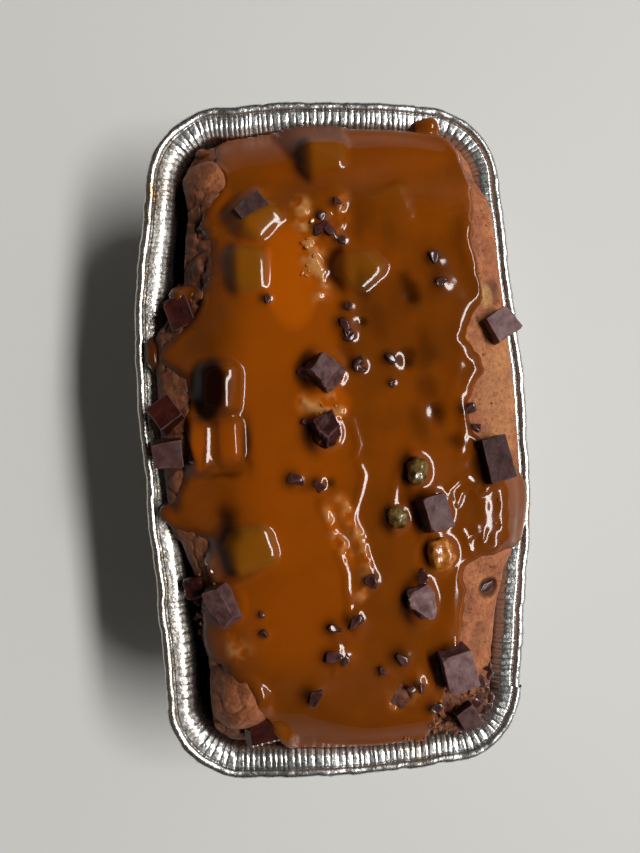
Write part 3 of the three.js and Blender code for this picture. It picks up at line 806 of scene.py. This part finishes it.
# Small dark chips that just break the surface: place and size.
CHIPS = [
    (1.2, 69.2, 2.6), (-1.2, 60.7, 3.4), (1.7, 58.3, 3.0), (-4.1, 62, 3.4), (30.3, 52.4, 3.4),
    (31.8, 45, 3.2), (2.2, 33.6, 3.2), (3.2, 30.6, 2.8), (5.6, 21.7, 3.4), (4.6, 20.4, 2.6),
    (6.4, 19.8, 2.2), (15.6, 22.6, 3.4), (15.5, 15.4, 1.8), (-14.2, -12.2, 3.8), (-7.4, -13.6, 3.0),
    (-10.4, 4.6, 2.2), (9.4, -70.1, 2.4), (-4.3, -56.2, 3.6), (-5, -64.8, 4.0), (1.6, -54.6, 4.0),
    (6.6, -42.7, 3.4), (-11.1, -76.1, 4.4), (15.6, -66.3, 4.0), (38, 6.6, 3.6), (40.4, 1.6, 3.0),
    (-25.2, -57, 2.0), (-25.7, -51.4, 1.6), (20.5, -75.1, 3.4), (25.1, -82.4, 3.4), (26.4, -89.5, 3.0),
    (29.7, -87.8, 3.4), (33.7, -88.2, 3.6), (36.8, -90.9, 4.0), (34.3, -95.4, 3.2), (39.1, -83.4, 4.4),
    (42.5, -81, 3.6), (43.4, -75.3, 3.8), (45, -83.8, 3.0), (40, -77, 4.6), (39.6, -88, 3.0),
    (-20.6, 41.3, 2.2), (3.4, 38.6, 2.6), (-3.2, 66, 2.6), (-46.4, -50.5, 2.6), (-44.6, -53.6, 2.0),
    (17.9, -76, 2.6), (43.3, -47.9, 4.2), (22.4, -42.8, 3.4), (38.4, -92.6, 3.8), (31.2, -84.6, 3.2),
    (42.2, -86.6, 3.8), (3.4, 29, 2.6), (-1.6, -65.6, 3.0),
]
# Hollows where the caramel sank over a gap: place, size, depth.
HOLLOWS = [
    (22.3, 41, 4.4, 0.6), (28, 6.6, 4, 0.4), (20, 21.6, 3.4, 0.45), (-4.6, -13.4, 2.6, 0.45),
    (7.2, 34, 2.4, 0.4),
]
# Low ripples left as the caramel set: points along the crest, height, breadth.
RIPPLES = [
    ([(2.9, 5), (3.8, 1), (4.6, -2.3), (3.6, -5.4)], 0.38, 1.3),
    ([(4.6, -8.6), (5.7, -11.5), (4.4, -16.5), (3, -20.2), (2, -23.7), (3, -27.6)], 0.42, 1.3),
    ([(-6, -18.6), (-2.6, -21), (-0.4, -23.7), (2.2, -28.5)], 0.45, 1.2),
    ([(-7.4, -19), (-6.1, -23.3), (-4.2, -27.2), (-1.2, -30.6)], 0.42, 1.2),
    ([(-1.4, -31.4), (-2.4, -34), (-1.5, -37), (-0.5, -40.7), (-0.6, -45.1), (0.2, -48.1), (-0.6, -52.8)],
     0.44, 1.3),
    ([(4.6, -33.4), (6.2, -37.4), (7.4, -41)], 0.36, 1.2),
    ([(17.4, -9.4), (15.6, -11.3), (14.7, -16.3), (14, -20.2), (12.6, -22.8), (12.5, -25.7), (14.3, -28.6)],
     0.38, 1.5),
    ([(35.9, -1.6), (35.2, -6.4)], 0.26, 1.5), ([(37.4, -7.4), (40, -5.8), (42, -5)], 0.27, 1.2),
    ([(31.4, -17), (34.4, -14.2), (37, -14), (39.6, -16.2)], 0.32, 1.1),
    ([(31.4, -19.4), (33.6, -21.2), (35, -17.9), (37.6, -16.9), (40, -19), (42.6, -17.8)], 0.32, 1.1),
    ([(34.7, -29.4), (36.2, -31.8), (38.8, -30.2), (41.4, -29.8), (40.8, -32)], 0.32, 1.1),
    ([(36, -31.4), (36.7, -35)], 0.25, 1.2), ([(25.3, -33), (25.8, -36.1), (26.9, -39.4)], 0.28, 1.3),
    ([(33.2, -41), (31.6, -46), (31, -51), (31, -56), (29, -59.4), (26, -64.5)], 0.32, 2.4),
    ([(34, 8), (34.4, 15), (36.2, 23)], 0.26, 1.9),
    ([(36.6, 4), (36.2, -1)], 0.3, 1.3), ([(21.5, -27.5), (22.4, -30.5)], 0.3, 1.3),
    ([(-4.8, -70), (-3.6, -62), (-4.4, -58)], 0.3, 1.2), ([(2, -58), (2.4, -52)], 0.3, 1.2),
]
# Glassy ridges where crumbs and nuts lie just under the caramel: points, breadth, height, how pale.
GLASSY = [
    ([(-9.2, 69), (-7.7, 60), (-8.3, 56), (-4.7, 50), (-4.4, 43)], 2.2, 0.9, 1.0),
    ([(-1, 60), (1.4, 66), (2.4, 71)], 2.4, 0.7, 0.2),
    ([(-10.5, 10.5), (-7, 8.4), (-3, 10.4), (-1, 6.6)], 2.0, 0.8, 0.9),
    ([(-1, -18), (2.4, -27), (5.2, -32), (6.6, -38), (3.4, -46)], 1.9, 0.6, 0.7),
    ([(-4.6, -22), (-3, -30), (1, -36)], 1.7, 0.5, 0.6),
    ([(26, -33), (28.6, -38)], 2.4, 0.5, 1.0), ([(20, -73), (17, -78), (13.6, -81)], 2.0, 0.7, 0.5),
    ([(-41, -36), (-39, -40)], 2.4, 0.5, 0.7), ([(-35, -60), (-33, -63)], 2.6, 0.6, 0.8),
]


def blur(field, size):
    """Gaussian blur; size is its standard deviation in millimetres."""
    rows, columns = field.shape
    ky = np.fft.fftfreq(rows)[:, None]
    kx = np.fft.fftfreq(columns)[None, :]
    fade = np.exp(-2 * (np.pi * size / CARAMEL_STEP) ** 2 * (kx ** 2 + ky ** 2))
    return np.real(np.fft.ifft2(np.fft.fft2(field) * fade))


def soft_max(a, b, soft):
    share = np.clip(0.5 + 0.5 * (a - b) / soft, 0, 1)
    return lerp(b, a, share) + soft * share * (1 - share)


def soft_min(a, b, soft):
    return -soft_max(-a, -b, soft)


def path_distance(x, y, points):
    """Distance to a line through the points."""
    nearest = np.full(x.shape, 1e9)
    for (ax, ay), (bx, by) in zip(points, points[1:]):
        ex, ey = bx - ax, by - ay
        t = np.clip(((x - ax) * ex + (y - ay) * ey) / (ex * ex + ey * ey), 0, 1)
        nearest = np.minimum(nearest, np.hypot(x - ax - t * ex, y - ay - t * ey))
    return nearest


def node_tree(name):
    """A ray-casting tree of a CAD node."""
    bm = bmesh.new()
    bm.from_mesh(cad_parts[name].data)
    tree = BVHTree.FromBMesh(bm)
    bm.free()
    return tree


def top_height(tree, x, y):
    """Height in millimetres of a node's top above the point, or None beside it."""
    hit = tree.ray_cast(Vector((x * MM, y * MM, 0.2)), Vector((0, 0, -1)))[0]
    return hit.z / MM if hit else None


class Grid:
    """A square grid over the loaf, with the caramel's height and tints at each point."""

    def __init__(self):
        low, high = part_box("caramel")
        margin = 3
        self.x0, self.y0 = low.x / MM - margin, low.y / MM - margin
        self.nx = int((high.x / MM + margin - self.x0) / CARAMEL_STEP) + 1
        self.ny = int((high.y / MM + margin - self.y0) / CARAMEL_STEP) + 1
        self.x, self.y = np.meshgrid(
            self.x0 + CARAMEL_STEP * np.arange(self.nx), self.y0 + CARAMEL_STEP * np.arange(self.ny))
        self.z, self.reach, self.dark, self.olive, self.glow, self.cream, self.dull = (
            np.zeros_like(self.x) for _ in range(7))

    def window(self, cx, cy, radius):
        """Slices of the points within the radius of a place."""
        i0 = max(int((cy - radius - self.y0) / CARAMEL_STEP), 0)
        i1 = min(int((cy + radius - self.y0) / CARAMEL_STEP) + 2, self.ny)
        j0 = max(int((cx - radius - self.x0) / CARAMEL_STEP), 0)
        j1 = min(int((cx + radius - self.x0) / CARAMEL_STEP) + 2, self.nx)
        return slice(i0, i1), slice(j0, j1)

    def tint(self, layer, value, here=...):
        """Raises one of the tints to the value where it is lower."""
        field = getattr(self, layer)
        field[here] = np.maximum(field[here], value)

    def height(self, x, y):
        i = int(round((y - self.y0) / CARAMEL_STEP))
        j = int(round((x - self.x0) / CARAMEL_STEP))
        return self.z[min(max(i, 0), self.ny - 1), min(max(j, 0), self.nx - 1)]


def outline(name):
    """Middle and half sizes of a CAD node, seen from above."""
    low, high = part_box(name)
    return ((low.x + high.x) / 2 / MM, (low.y + high.y) / 2 / MM,
            (high.x - low.x) / 2 / MM, (high.y - low.y) / 2 / MM)


def drape_over(grid, name):
    """Raises the caramel over a chunk as a coat with a soft shoulder and steep flanks."""
    direction, bare = PARTLY_BARE.get(name, (0, 0))
    steepness, even, olive, glow, dark = COATED[name]
    cx, cy, rx, ry = outline(name)
    half = max(rx, ry)
    tree = node_tree(name)
    here = grid.window(cx, cy, half + 12)
    x, y = grid.x[here], grid.y[here]
    tops = [(px, py, top_height(tree, px, py)) for px, py in zip(x.ravel(), y.ravel())
            if abs(px - cx) < half + 0.5 and abs(py - cy) < half + 0.5]
    # Every third point of the chunk's top is enough.
    tops = [item for item in tops[::3] if item[2] is not None]
    angle = math.radians(direction)
    cover = np.full(x.shape, -1e9)
    beside = np.full(x.shape, 1e9)
    for px, py, pz in tops:
        along = ((px - cx) * math.cos(angle) + (py - cy) * math.sin(angle)) / half
        coat = COAT - 2.6 * float(smoothstep(along, 0.75 - 1.5 * bare, 1.15 - 1.5 * bare)) * (bare > 0)
        away = np.hypot(x - px, y - py)
        # A gentle fall to the right, steep on the shaded left.
        lit = even * smoothstep((x - px) / np.maximum(away, 0.5), 0.3, 0.9)
        past = np.maximum(away - lerp(0.5, 1.2, even), 0)
        steep = 0.12 * away + steepness * past * past / (past + 0.6)
        gentle = (0.17 - 0.0028 * cx) * away + 0.03 * away ** 2 + 0.2 * np.maximum(away - 2, 0) ** 2
        cover = np.maximum(cover, pz + coat - lerp(steep, gentle, lit))
        beside = np.minimum(beside, away)
    base = grid.z[here]
    raised = np.clip((cover - base) / 1.2, 0, 1)
    grid.z[here] = soft_max(cover, base, 0.4)
    shaded = np.clip((cx - x) / half, -1, 1.4) if even else np.ones_like(x)
    top = raised * (1 - smoothstep(beside, 0.2, 1.8))
    # A duller gloss and painted shade on the flank away from the window, then a lighter darkening on all its
    # flanks.
    grid.tint("dull", dark * raised * smoothstep(beside, 0.3, 1.2) * smoothstep(shaded, 0.5, 0.9), here)
    grid.tint("dark", dark * bell(beside - 1.4, 2.0) * smoothstep(shaded, 0.3, 0.8), here)
    grid.tint("dark", 0.35 * dark * raised * smoothstep(beside, 0.4, 2), here)
    grid.tint("olive", olive * top, here)
    grid.tint("glow", glow * top, here)


def climb_round(grid, name):
    """Lets the caramel climb a little up the sides of a bare piece and darkens its shaded foot."""
    cx, cy, rx, ry = outline(name)
    here = grid.window(cx, cy, max(rx, ry) + 5)
    x, y = grid.x[here], grid.y[here]
    away = np.maximum((np.hypot((x - cx) / rx, (y - cy) / ry) - 0.86) * min(rx, ry), 0)
    grid.z[here] += 0.9 * bell(away, 1.3)
    # Painted shade at the foot, on the side away from the window.
    grid.tint("dark", smoothstep((cx - x) / rx, 0, 0.9) * bell(away, 2.4), here)


def settled_level(grid, right, ground, bread):
    """Level at which the sauce came to rest.

    It fills the split. On the left it runs down the crust as a film; on the right it stands as a deep
    pool, nearly level across.
    """
    x, y = grid.x, grid.y
    filled = blur(ground + SPLIT_DEPTH * split(x, y), 5)
    level_x = np.where(x > 6, 6 + 0.15 * (x - 6), x)
    pool = blur(crust(level_x, y) + SPLIT_DEPTH * split(level_x, y), 8) + 1.3 - 0.02 * np.maximum(x - 6, 0)
    deepest = 1.2 + 0.8 * np.maximum(np.minimum(grid.reach, 0.4 * inset(x, y)), 0)
    pool = soft_min(pool, blur(bread, 1.5) + deepest, 0.7)
    settled = soft_max(lerp(filled + 0.7, pool, right), ground + CARAMEL_FILM, 0.4)
    return settled + (0.05 * waves(x, y, 11, 51) + 0.015 * waves(x, y, 5, 52)) * lerp(3, 1, right)


def mark_surface(grid):
    """Ripples, folds, glassy ridges, hollows and chips."""
    x, y = grid.x, grid.y
    for points, height, breadth in RIPPLES:
        grid.z += height * bell(path_distance(x, y, points), breadth)
    runny = smoothstep(x, 34, 40) * between(y, -40, -8, 4)
    grid.z += 0.25 * runny * waves(x, y, 3.2, 57)
    # Over the crumpled crust on the upper left it follows every fold.
    grid.z += 0.6 * mound(x, y, -39.5, 56, 5.5, 17) * (waves(x, y, 3.0, 58) + 0.5 * waves(x, y, 1.5, 59))
    for points, breadth, height, pale in GLASSY:
        near = bell(path_distance(x + waves(x, y, 4, 91), y + waves(x, y, 4, 92), points), breadth)
        rough = 0.5 + 0.7 * waves(x, y, 2.6, 93) + 0.35 * waves(x, y, 1.4, 94)
        grid.z += height * near * rough
        grid.tint("cream", pale * near * smoothstep(rough, 0.1, 0.9))
        grid.tint("glow", 0.8 * near)
    for cx, cy, size, depth in HOLLOWS:
        grid.z -= depth * bell(np.hypot(x - cx, (y - cy) * 0.75), 0.6 * size)
        # Painted shade in the hollow.
        grid.tint("dark", 0.8 * np.exp(-(np.hypot(x - cx - 0.5, y - cy) / (0.6 * size)) ** 3))
    for cx, cy, size in CHIPS:
        here = grid.window(cx, cy, size + 3)
        beside_x, beside_y = x[here] - cx, y[here] - cy
        grid.z[here] += (0.21 - 0.0027 * cx) * size * bell(np.hypot(beside_x, beside_y), 0.8 * size)
        # Painted shade round each chip, strongest on its side away from the window.
        shaded = bell(np.hypot(beside_x + 0.4 * size, beside_y - 0.1 * size), 0.66 * size)
        grid.tint("dark", 0.95 * shaded, here)


def finish_edge(grid, right, ground, bread):
    """A rounded lip at the edge, and a skirt that dips under the crumb beyond it."""
    x, y = grid.x, grid.y
    rolled = right * between(y, -8, 66, 6) * smoothstep(waves(x, y, 12, 96), -0.8, 0)
    grid.z += 0.27 * rolled * bell(grid.reach - 3, 1.9)
    grid.z += 0.06 * np.clip(y - 27, 0, 30) * between(y, 20, 62, 5) * right * bell(grid.reach - 2, 4.2)
    grid.z -= 0.5 * right * (1 - rolled) * np.maximum(1 - np.maximum(grid.reach, 0) / 3, 0) ** 2
    spill = np.hypot((x - SPILL[0]) / 5.5, (y - SPILL[1]) / 4.5)
    grid.z = soft_max(grid.z, TIN_HEIGHT + 2.4 - 3.4 * spill ** 2, 0.5)
    resting = lerp(bread, ground, smoothstep(grid.reach, -0.4, 0.8))
    lip = 1 - np.exp(-(np.maximum(grid.reach, 0) / lerp(1.2, 0.7, right)) ** 1.3)
    grid.z = lerp(resting, grid.z, lip) - CARAMEL_SKIRT * smoothstep(-grid.reach, 0, 1.2)


def colour_sauce(grid):
    """Darkens it where it lies thin over dark crust and in dark spots that are partly painted shade, and
    brightens it where it lies over pale crumb.
    """
    x, y = grid.x, grid.y
    thin = 1 - smoothstep(grid.reach, 0, 3.5)
    grid.tint("dark", 0.7 * thin * smoothstep(-x, 22, 42))
    # Dark spots, partly painted shade beside lumps and partly dark chocolate under a thin coat.
    for cx, cy, rx, ry, strength in DARK_SPOTS:
        wx, wy = x + 1.2 * waves(x, y, 4, 81), y + 1.2 * waves(x, y, 4, 82)
        spot = np.exp(-(((wx - cx) / rx) ** 2 + ((wy - cy) / ry) ** 2) ** 1.5)
        grid.tint("dark", np.minimum(strength * spot, 1))
    grid.dark = np.clip(blur(grid.dark, 0.45), 0, 1)
    grid.glow += 0.45 * between(x, -24, -4, 12) * between(y, -58, 56, 18)
    grid.glow += sum(strength * mound(x, y, *oval) for strength, *oval in BRIGHT_SPOTS)
    grid.glow = np.clip(grid.glow, 0, 1)
    # Sauce on the steep flanks turned from the window has picked up crumb and lost its gloss.
    rise_y, rise_x = np.gradient(blur(grid.z, 0.5), CARAMEL_STEP)
    flank = np.hypot(np.maximum(rise_x, 0), rise_y)
    grid.tint("dull", smoothstep(flank, 0.4, 0.75))


def pour_caramel():
    grid = Grid()
    grid.reach = caramel_reach(grid.x, grid.y)
    right = smoothstep(grid.x, -20, 14)
    ground, bread = crust(grid.x, grid.y), loaf_top(grid.x, grid.y)
    grid.z = settled_level(grid, right, ground, bread)
    for name in sorted(COATED):
        drape_over(grid, name)
    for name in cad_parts:
        if name.startswith(("chocolate", "walnut")) and name not in COATED:
            climb_round(grid, name)
    grid.z = blur(grid.z, 0.65)
    mark_surface(grid)
    finish_edge(grid, right, ground, bread)
    colour_sauce(grid)
    return grid


def caramel_sheet(grid):
    bm = bmesh.new()
    bmesh.ops.create_grid(bm, x_segments=grid.nx - 1, y_segments=grid.ny - 1, size=0.5)
    flat = coordinates(bm)
    j = np.round((flat[:, 0] + 0.5) * (grid.nx - 1)).astype(int)
    i = np.round((flat[:, 1] + 0.5) * (grid.ny - 1)).astype(int)
    flat_x, flat_y = grid.x[i, j], grid.y[i, j]
    place_vertices(bm, flat_x, flat_y, grid.z[i, j])
    sauce = bm.verts.layers.float_color.new("sauce")
    cream = bm.verts.layers.float.new("cream")
    dull = bm.verts.layers.float.new("dull")
    for vertex, a, b in zip(bm.verts, i, j):
        vertex[sauce] = (grid.dark[a, b], grid.olive[a, b], grid.glow[a, b], 1)
        vertex[cream] = grid.cream[a, b]
        vertex[dull] = grid.dull[a, b]
    # Nothing beyond its skirt, nor past the face of the foil where it has run up against the tin.
    level = TIN_HEIGHT + edge_level(flat_x, flat_y) + 2 + 9 * mound(flat_x, flat_y, 33.5, 99, 5.5, 5)
    clearance = 0.35 + 1.3 * (1 - smoothstep(grid.z[i, j], FLANGE_FOOT[1] - 1, FLANGE_FOOT[1] + 1))
    to_foil = inset(flat_x, flat_y) + foil_face(np.minimum(grid.z[i, j], level)) - clearance
    outside = (grid.reach[i, j] < -CARAMEL_SKIRT) | (to_foil < 0)
    bmesh.ops.delete(bm, geom=[v for v, out in zip(bm.verts, outside) if out], context="VERTS")
    # Closes the sheet underneath, inside the loaf: a short skirt, a step inward and one down, which
    # keep the closing faces below the crust and inside the tin.
    for shrink, drop in [((1, 1, 1), 0.5), ((0.86, 0.93, 1), 0.3), ((1, 1, 1), 6.5)]:
        rim = [edge for edge in bm.edges if edge.is_boundary]
        lowered = bmesh.ops.extrude_edge_only(bm, edges=rim)["geom"]
        foot = [item for item in lowered if isinstance(item, bmesh.types.BMVert)]
        bmesh.ops.scale(bm, vec=shrink, verts=foot)
        bmesh.ops.translate(bm, vec=(0, 0, -drop), verts=foot)
    bmesh.ops.triangle_fill(bm, edges=[edge for edge in bm.edges if edge.is_boundary], use_beauty=True)
    bmesh.ops.recalc_face_normals(bm, faces=bm.faces)
    return bm


# ---- chunks, chips and crumbs

FINE_SIZE = 0.9


def soften(bm, times):
    axes = {"use_axis_x": True, "use_axis_y": True, "use_axis_z": True}
    for _ in range(times):
        bmesh.ops.smooth_vert(bm, verts=bm.verts, factor=0.5, **axes)


def paint(bm, layer, level):
    """Gives every point the same value of a layer."""
    layer = bm.verts.layers.float.new(layer)
    for vertex in bm.verts:
        vertex[layer] = level


def roughen(bm, seed, coarse, fine, coarse_size=3.2):
    """Pushes each vertex along its normal by noise; sizes in millimetres."""
    bm.normal_update()
    shift = Vector((seed * 7.3, seed * 3.1, seed * 5.7))
    moves = []
    for vertex in bm.verts:
        push = coarse * noise.noise(vertex.co / coarse_size + shift)
        push += fine * noise.noise(vertex.co / FINE_SIZE + shift)
        moves.append(vertex.normal * push)
    for vertex, move in zip(bm.verts, moves):
        vertex.co += move


def merged_copy(name):
    """A welded copy of a CAD node, in millimetres."""
    bm = bmesh.new()
    bm.from_mesh(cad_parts[name].data)
    bmesh.ops.scale(bm, vec=(1 / MM,) * 3, verts=bm.verts)
    bmesh.ops.remove_doubles(bm, verts=bm.verts, dist=0.01)
    bmesh.ops.dissolve_limit(bm, angle_limit=math.radians(4), verts=bm.verts, edges=bm.edges)
    return bm


def cut_away(bm, point, normal):
    """Cuts off what lies beyond a plane and closes the cut."""
    everything = bm.verts[:] + bm.edges[:] + bm.faces[:]
    bmesh.ops.bisect_plane(bm, geom=everything, plane_co=point, plane_no=normal, clear_outer=True)
    bmesh.ops.holes_fill(bm, edges=[edge for edge in bm.edges if edge.is_boundary])


def cleave(bm, rng, cuts, least, most):
    """Knocks corners off at random; least and most are the shares of the reach left standing."""
    middle = sum((vertex.co for vertex in bm.verts), Vector()) / len(bm.verts)
    for _ in range(cuts):
        normal = Vector((rng.choice((-1, 1)) * rng.uniform(0.4, 1), rng.choice((-1, 1)) * rng.uniform(0.4, 1),
                         rng.uniform(-0.3, 1))).normalized()
        reach = max((vertex.co - middle).dot(normal) for vertex in bm.verts)
        cut_away(bm, middle + normal * reach * rng.uniform(least, most), normal)


def round_off(bm, radius, cuts, coarse, fine, seed):
    """Rounds the edges slightly, marks them, refines the faces and roughens them."""
    edge_layer = bm.verts.layers.float.new("edge")
    bmesh.ops.remove_doubles(bm, verts=bm.verts, dist=3 * radius)
    bevelled = bmesh.ops.bevel(bm, geom=bm.edges[:], offset=radius, offset_type="OFFSET", affect="EDGES",
                               segments=2, profile=0.5, material=-1, clamp_overlap=True)
    narrow = set(bevelled["faces"])
    broad = [face for face in bm.faces if face not in narrow]
    bmesh.ops.inset_individual(bm, faces=broad, thickness=radius, depth=0, use_even_offset=True)
    inner = {vertex for face in broad for vertex in face.verts}
    for vertex in bm.verts:
        vertex[edge_layer] = 0 if vertex in inner else 1
    bmesh.ops.triangulate(bm, faces=bm.faces)
    faces_wide = [edge for edge in bm.edges if edge.calc_length() > 4 * radius]
    bmesh.ops.subdivide_edges(bm, edges=faces_wide, cuts=cuts, use_grid_fill=True)
    bmesh.ops.triangulate(bm, faces=bm.faces)
    roughen(bm, seed, coarse, fine)


def chopped_chunk(name, seed):
    """The CAD block with crisp cleaved edges in place of its bevels."""
    rng = random.Random(40 + seed)
    block = merged_copy(name)
    planes = []
    for face in sorted(block.faces, key=lambda face: -face.calc_area()):
        turns = [face.normal.dot(normal) for _, normal in planes]
        # One plane for each side of the block, none for its bevels.
        if all(abs(turn) < 0.3 or turn < -0.9 for turn in turns) and len(planes) < 6:
            planes.append((face.calc_center_median().copy(), face.normal.copy()))
    block.free()
    middle = sum((point for point, _ in planes), Vector()) / len(planes)
    reach = max((point - middle).length for point, _ in planes)
    bm = bmesh.new()
    bmesh.ops.create_cube(bm, size=4 * reach, matrix=Matrix.Translation(middle))
    for point, normal in planes:
        cut_away(bm, point, normal)
    least, most = (0.55, 0.8) if name in BROKEN else (0.86, 0.93)
    cleave(bm, rng, BROKEN.get(name, 2), least, most)
    coarse, fine = (1.0, 0.35) if name in CRUMBLY else (0.3, 0.1)
    round_off(bm, 0.2, 7, coarse, fine, seed)
    # Crisp corners stand out further than the bevelled block's, so the piece is drawn in a little.
    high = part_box(name)[1] / MM
    room = min((high.z - middle.z) / (vertex.co.z - middle.z)
               for vertex in bm.verts if vertex.co.z > middle.z + 1)
    drawn_in = Matrix.Translation(middle) @ Matrix.Scale(min(room, 1), 4) @ Matrix.Translation(-middle)
    bmesh.ops.transform(bm, verts=bm.verts, matrix=drawn_in)
    paint(bm, "bloom", BLOOM_AND_SHEEN.get(name, 0))
    return bm


def nugget(name, seed):
    bm = merged_copy(name)
    bmesh.ops.triangulate(bm, faces=bm.faces)
    bmesh.ops.subdivide_edges(bm, edges=bm.edges, cuts=5, use_grid_fill=True)
    soften(bm, 6)
    roughen(bm, seed, coarse=0.8, fine=0.2, coarse_size=2.6)
    paint(bm, "pale", 1 if name == "walnut_piece_01" else 0)
    return bm


def scattered_shards(places, cuts, seed, tint):
    """Many small broken pieces in one mesh; each place is x, y, z, size, flatness and tint."""
    rng = random.Random(seed)
    whole = bmesh.new()
    whole.verts.layers.float.new(tint)
    holder = bpy.data.meshes.new("shard")
    for number, (x, y, z, size, flatness, level) in enumerate(places):
        bm = bmesh.new()
        bmesh.ops.create_cube(bm, size=size)
        cleave(bm, rng, 5, 0.55, 0.8)
        round_off(bm, 0.06 * size, cuts, 0.2 * size, 0.06 * size, seed + number)
        soften(bm, 2)
        paint(bm, tint, level)
        turn = Matrix.Rotation(rng.uniform(0, 6.28), 4, "Z") @ Matrix.Rotation(rng.uniform(-0.5, 0.5), 4, "X")
        stretch = Matrix.Diagonal((rng.uniform(0.9, 1.3), rng.uniform(0.6, 0.9), flatness, 1))
        bmesh.ops.transform(bm, matrix=Matrix.Translation((x, y, z)) @ turn @ stretch, verts=bm.verts)
        bm.to_mesh(holder)
        bm.free()
        whole.from_mesh(holder)
    bpy.data.meshes.remove(holder)
    return whole


def bread_height(x, y):
    return float(loaf_top(np.array([x]), np.array([y]))[0])


def chip_places(grid):
    return [(x, y, max(grid.height(x, y), bread_height(x, y)) - 0.24 * size, 1.15 * size, 0.7, 0.06)
            for x, y, size in CHIPS]


def strewn(grid, patches, seed, tint):
    """Places of small crumbs in patches, each a count, middle, half sizes, smallest and largest."""
    rng = random.Random(seed)
    places = []
    for count, cx, cy, rx, ry, low, high in patches:
        for _ in range(count):
            x, y = cx + rx * rng.uniform(-1, 1), cy + ry * rng.uniform(-1, 1)
            ground = bread_height(x, y)
            if grid.height(x, y) > ground + 0.2:
                ground = grid.height(x, y)
            size = rng.uniform(low, high)
            if inset(x, y) > size - FLANGE_FOOT[0]:
                places.append((x, y, ground + 0.05 * size, size, 0.75, tint))
    return places


BREAD_CRUMBS = [
    (46, 34, -87, 9, 10, 0.8, 2.6), (16, 20, -97, 7, 3, 0.7, 2.0),
    (20, 48, 10, 4, 60, 0.4, 1.0), (10, -47, -50, 4, 12, 0.8, 2.0),
]
NUT_CRUMBS = [
    (9, -8, 56, 2, 9, 0.6, 1.5), (5, -4, 9, 6, 2, 0.6, 1.3),
    (6, 30, -84, 8, 6, 0.6, 1.3), (4, -42, -40, 3, 4, 0.6, 1.2),
]

# ---- putting it together

foil = rolled_foil()
crust_material = baked_crust()
caramel_material = poured_caramel()
chocolate = dark_chocolate("chopped_dark_chocolate", wet=False)
wet_chocolate = dark_chocolate("caramel_wet_chocolate", wet=True)
walnut = candied_walnut()

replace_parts(finish_piece("creased_foil_tin", foil_tin(), foil), "foil_tin")
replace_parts(finish_piece("baked_loaf", loaf_body(), crust_material), "loaf")
grid = pour_caramel()
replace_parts(finish_piece("caramel_coat", caramel_sheet(grid), caramel_material), "caramel")
for seed, name in enumerate(sorted(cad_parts)):
    if name.startswith("walnut"):
        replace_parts(finish_piece(name + "_shown", nugget(name, seed), walnut), name)
    elif name.startswith("chocolate_drop"):
        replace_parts(finish_piece(name + "_shown", nugget(name, seed), wet_chocolate), name)
    elif name in COATED and name not in PARTLY_BARE:
        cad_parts[name].data.materials.clear()
        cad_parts[name].data.materials.append(wet_chocolate)
    elif name.startswith("chocolate_chunk"):
        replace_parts(finish_piece(name + "_shown", chopped_chunk(name, seed), chocolate), name)
chips = scattered_shards(chip_places(grid), 2, 5, "bloom")
finish_piece("chocolate_chips", chips, wet_chocolate)
bread_crumbs = scattered_shards(strewn(grid, BREAD_CRUMBS, 19, 0.4), 1, 9, "browned")
finish_piece("bread_crumbs", bread_crumbs, crust_material)
nut_crumbs = scattered_shards(strewn(grid, NUT_CRUMBS, 23, 1), 1, 13, "pale")
finish_piece("nut_crumbs", nut_crumbs, walnut)

# ---- floor, light and camera

bm = bmesh.new()
bmesh.ops.create_grid(bm, x_segments=1, y_segments=1, size=2.0)
floor_mesh = bpy.data.meshes.new("floor")
bm.to_mesh(floor_mesh)
bm.free()
floor = bpy.data.objects.new("floor", floor_mesh)
matt_stone = Surface("pale_matt_floor", {"Base Color": linear("#d6d6d3"), "Roughness": 0.7})
floor_mesh.materials.append(matt_stone.material)
bpy.context.scene.collection.objects.link(floor)


def area_light(name, place, target, width, height, power, colour):
    data = bpy.data.lights.new(name, "AREA")
    data.shape = "RECTANGLE"
    data.size, data.size_y = width, height
    data.energy = power
    data.color = linear(colour)[:3]
    lamp = bpy.data.objects.new(name, data)
    lamp.location = place
    lamp.rotation_euler = (Vector(target) - Vector(place)).to_track_quat("-Z", "Y").to_euler()
    bpy.context.scene.collection.objects.link(lamp)


area_light("window_side", (1.84, 0.0, 2.92), (0, 0, 0.05), 2.4, 0.45, 117, "#fffdfa")


def studio_world():
    """Room light: bright toward the walls, more so on the window's side, and dark overhead."""
    world = bpy.data.worlds.new("studio")
    bpy.context.scene.world = world
    world.use_nodes = True
    room = Nodes(world.node_tree, "Generated")
    axes = room.add("ShaderNodeSeparateXYZ", _0=room.place).outputs
    upward = room.ramp(axes["Z"], [(0.0, "#5c5a58"), (0.38, "#6c6a68"), (0.5, "#ffffff"),
                                   (0.77, "#ffffff"), (0.85, "#303030"), (0.95, "#1c1c1c")])
    # The ramp runs from 0 to 1, so the sideways direction is halved and centred first.
    window = room.ramp(room.maths("MULTIPLY_ADD", axes["X"], 0.5, 0.5), [(0.25, "#8e857a"), (0.6, 1)])
    far_walls = room.ramp(room.maths("ABSOLUTE", axes["Y"]), [(0.4, 1), (0.7, 0.15)])
    background = room.tree.nodes["Background"].inputs
    room.tree.links.new(room.multiply(upward, room.multiply(window, far_walls)), background["Color"])
    background["Strength"].default_value = 0.47


studio_world()

camera_data = bpy.data.cameras.new("camera")
camera_data.sensor_width = 36
camera_data.lens = 27.05
camera = bpy.data.objects.new("camera", camera_data)
camera.location = (-0.0198, 0.00135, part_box("foil_tin")[1].z + 0.2021)
camera.rotation_euler = [math.radians(angle) for angle in (0.77, -4.03, -2.30)]
bpy.context.scene.collection.objects.link(camera)
bpy.context.scene.camera = camera
bpy.context.scene.view_settings.view_transform = "Standard"
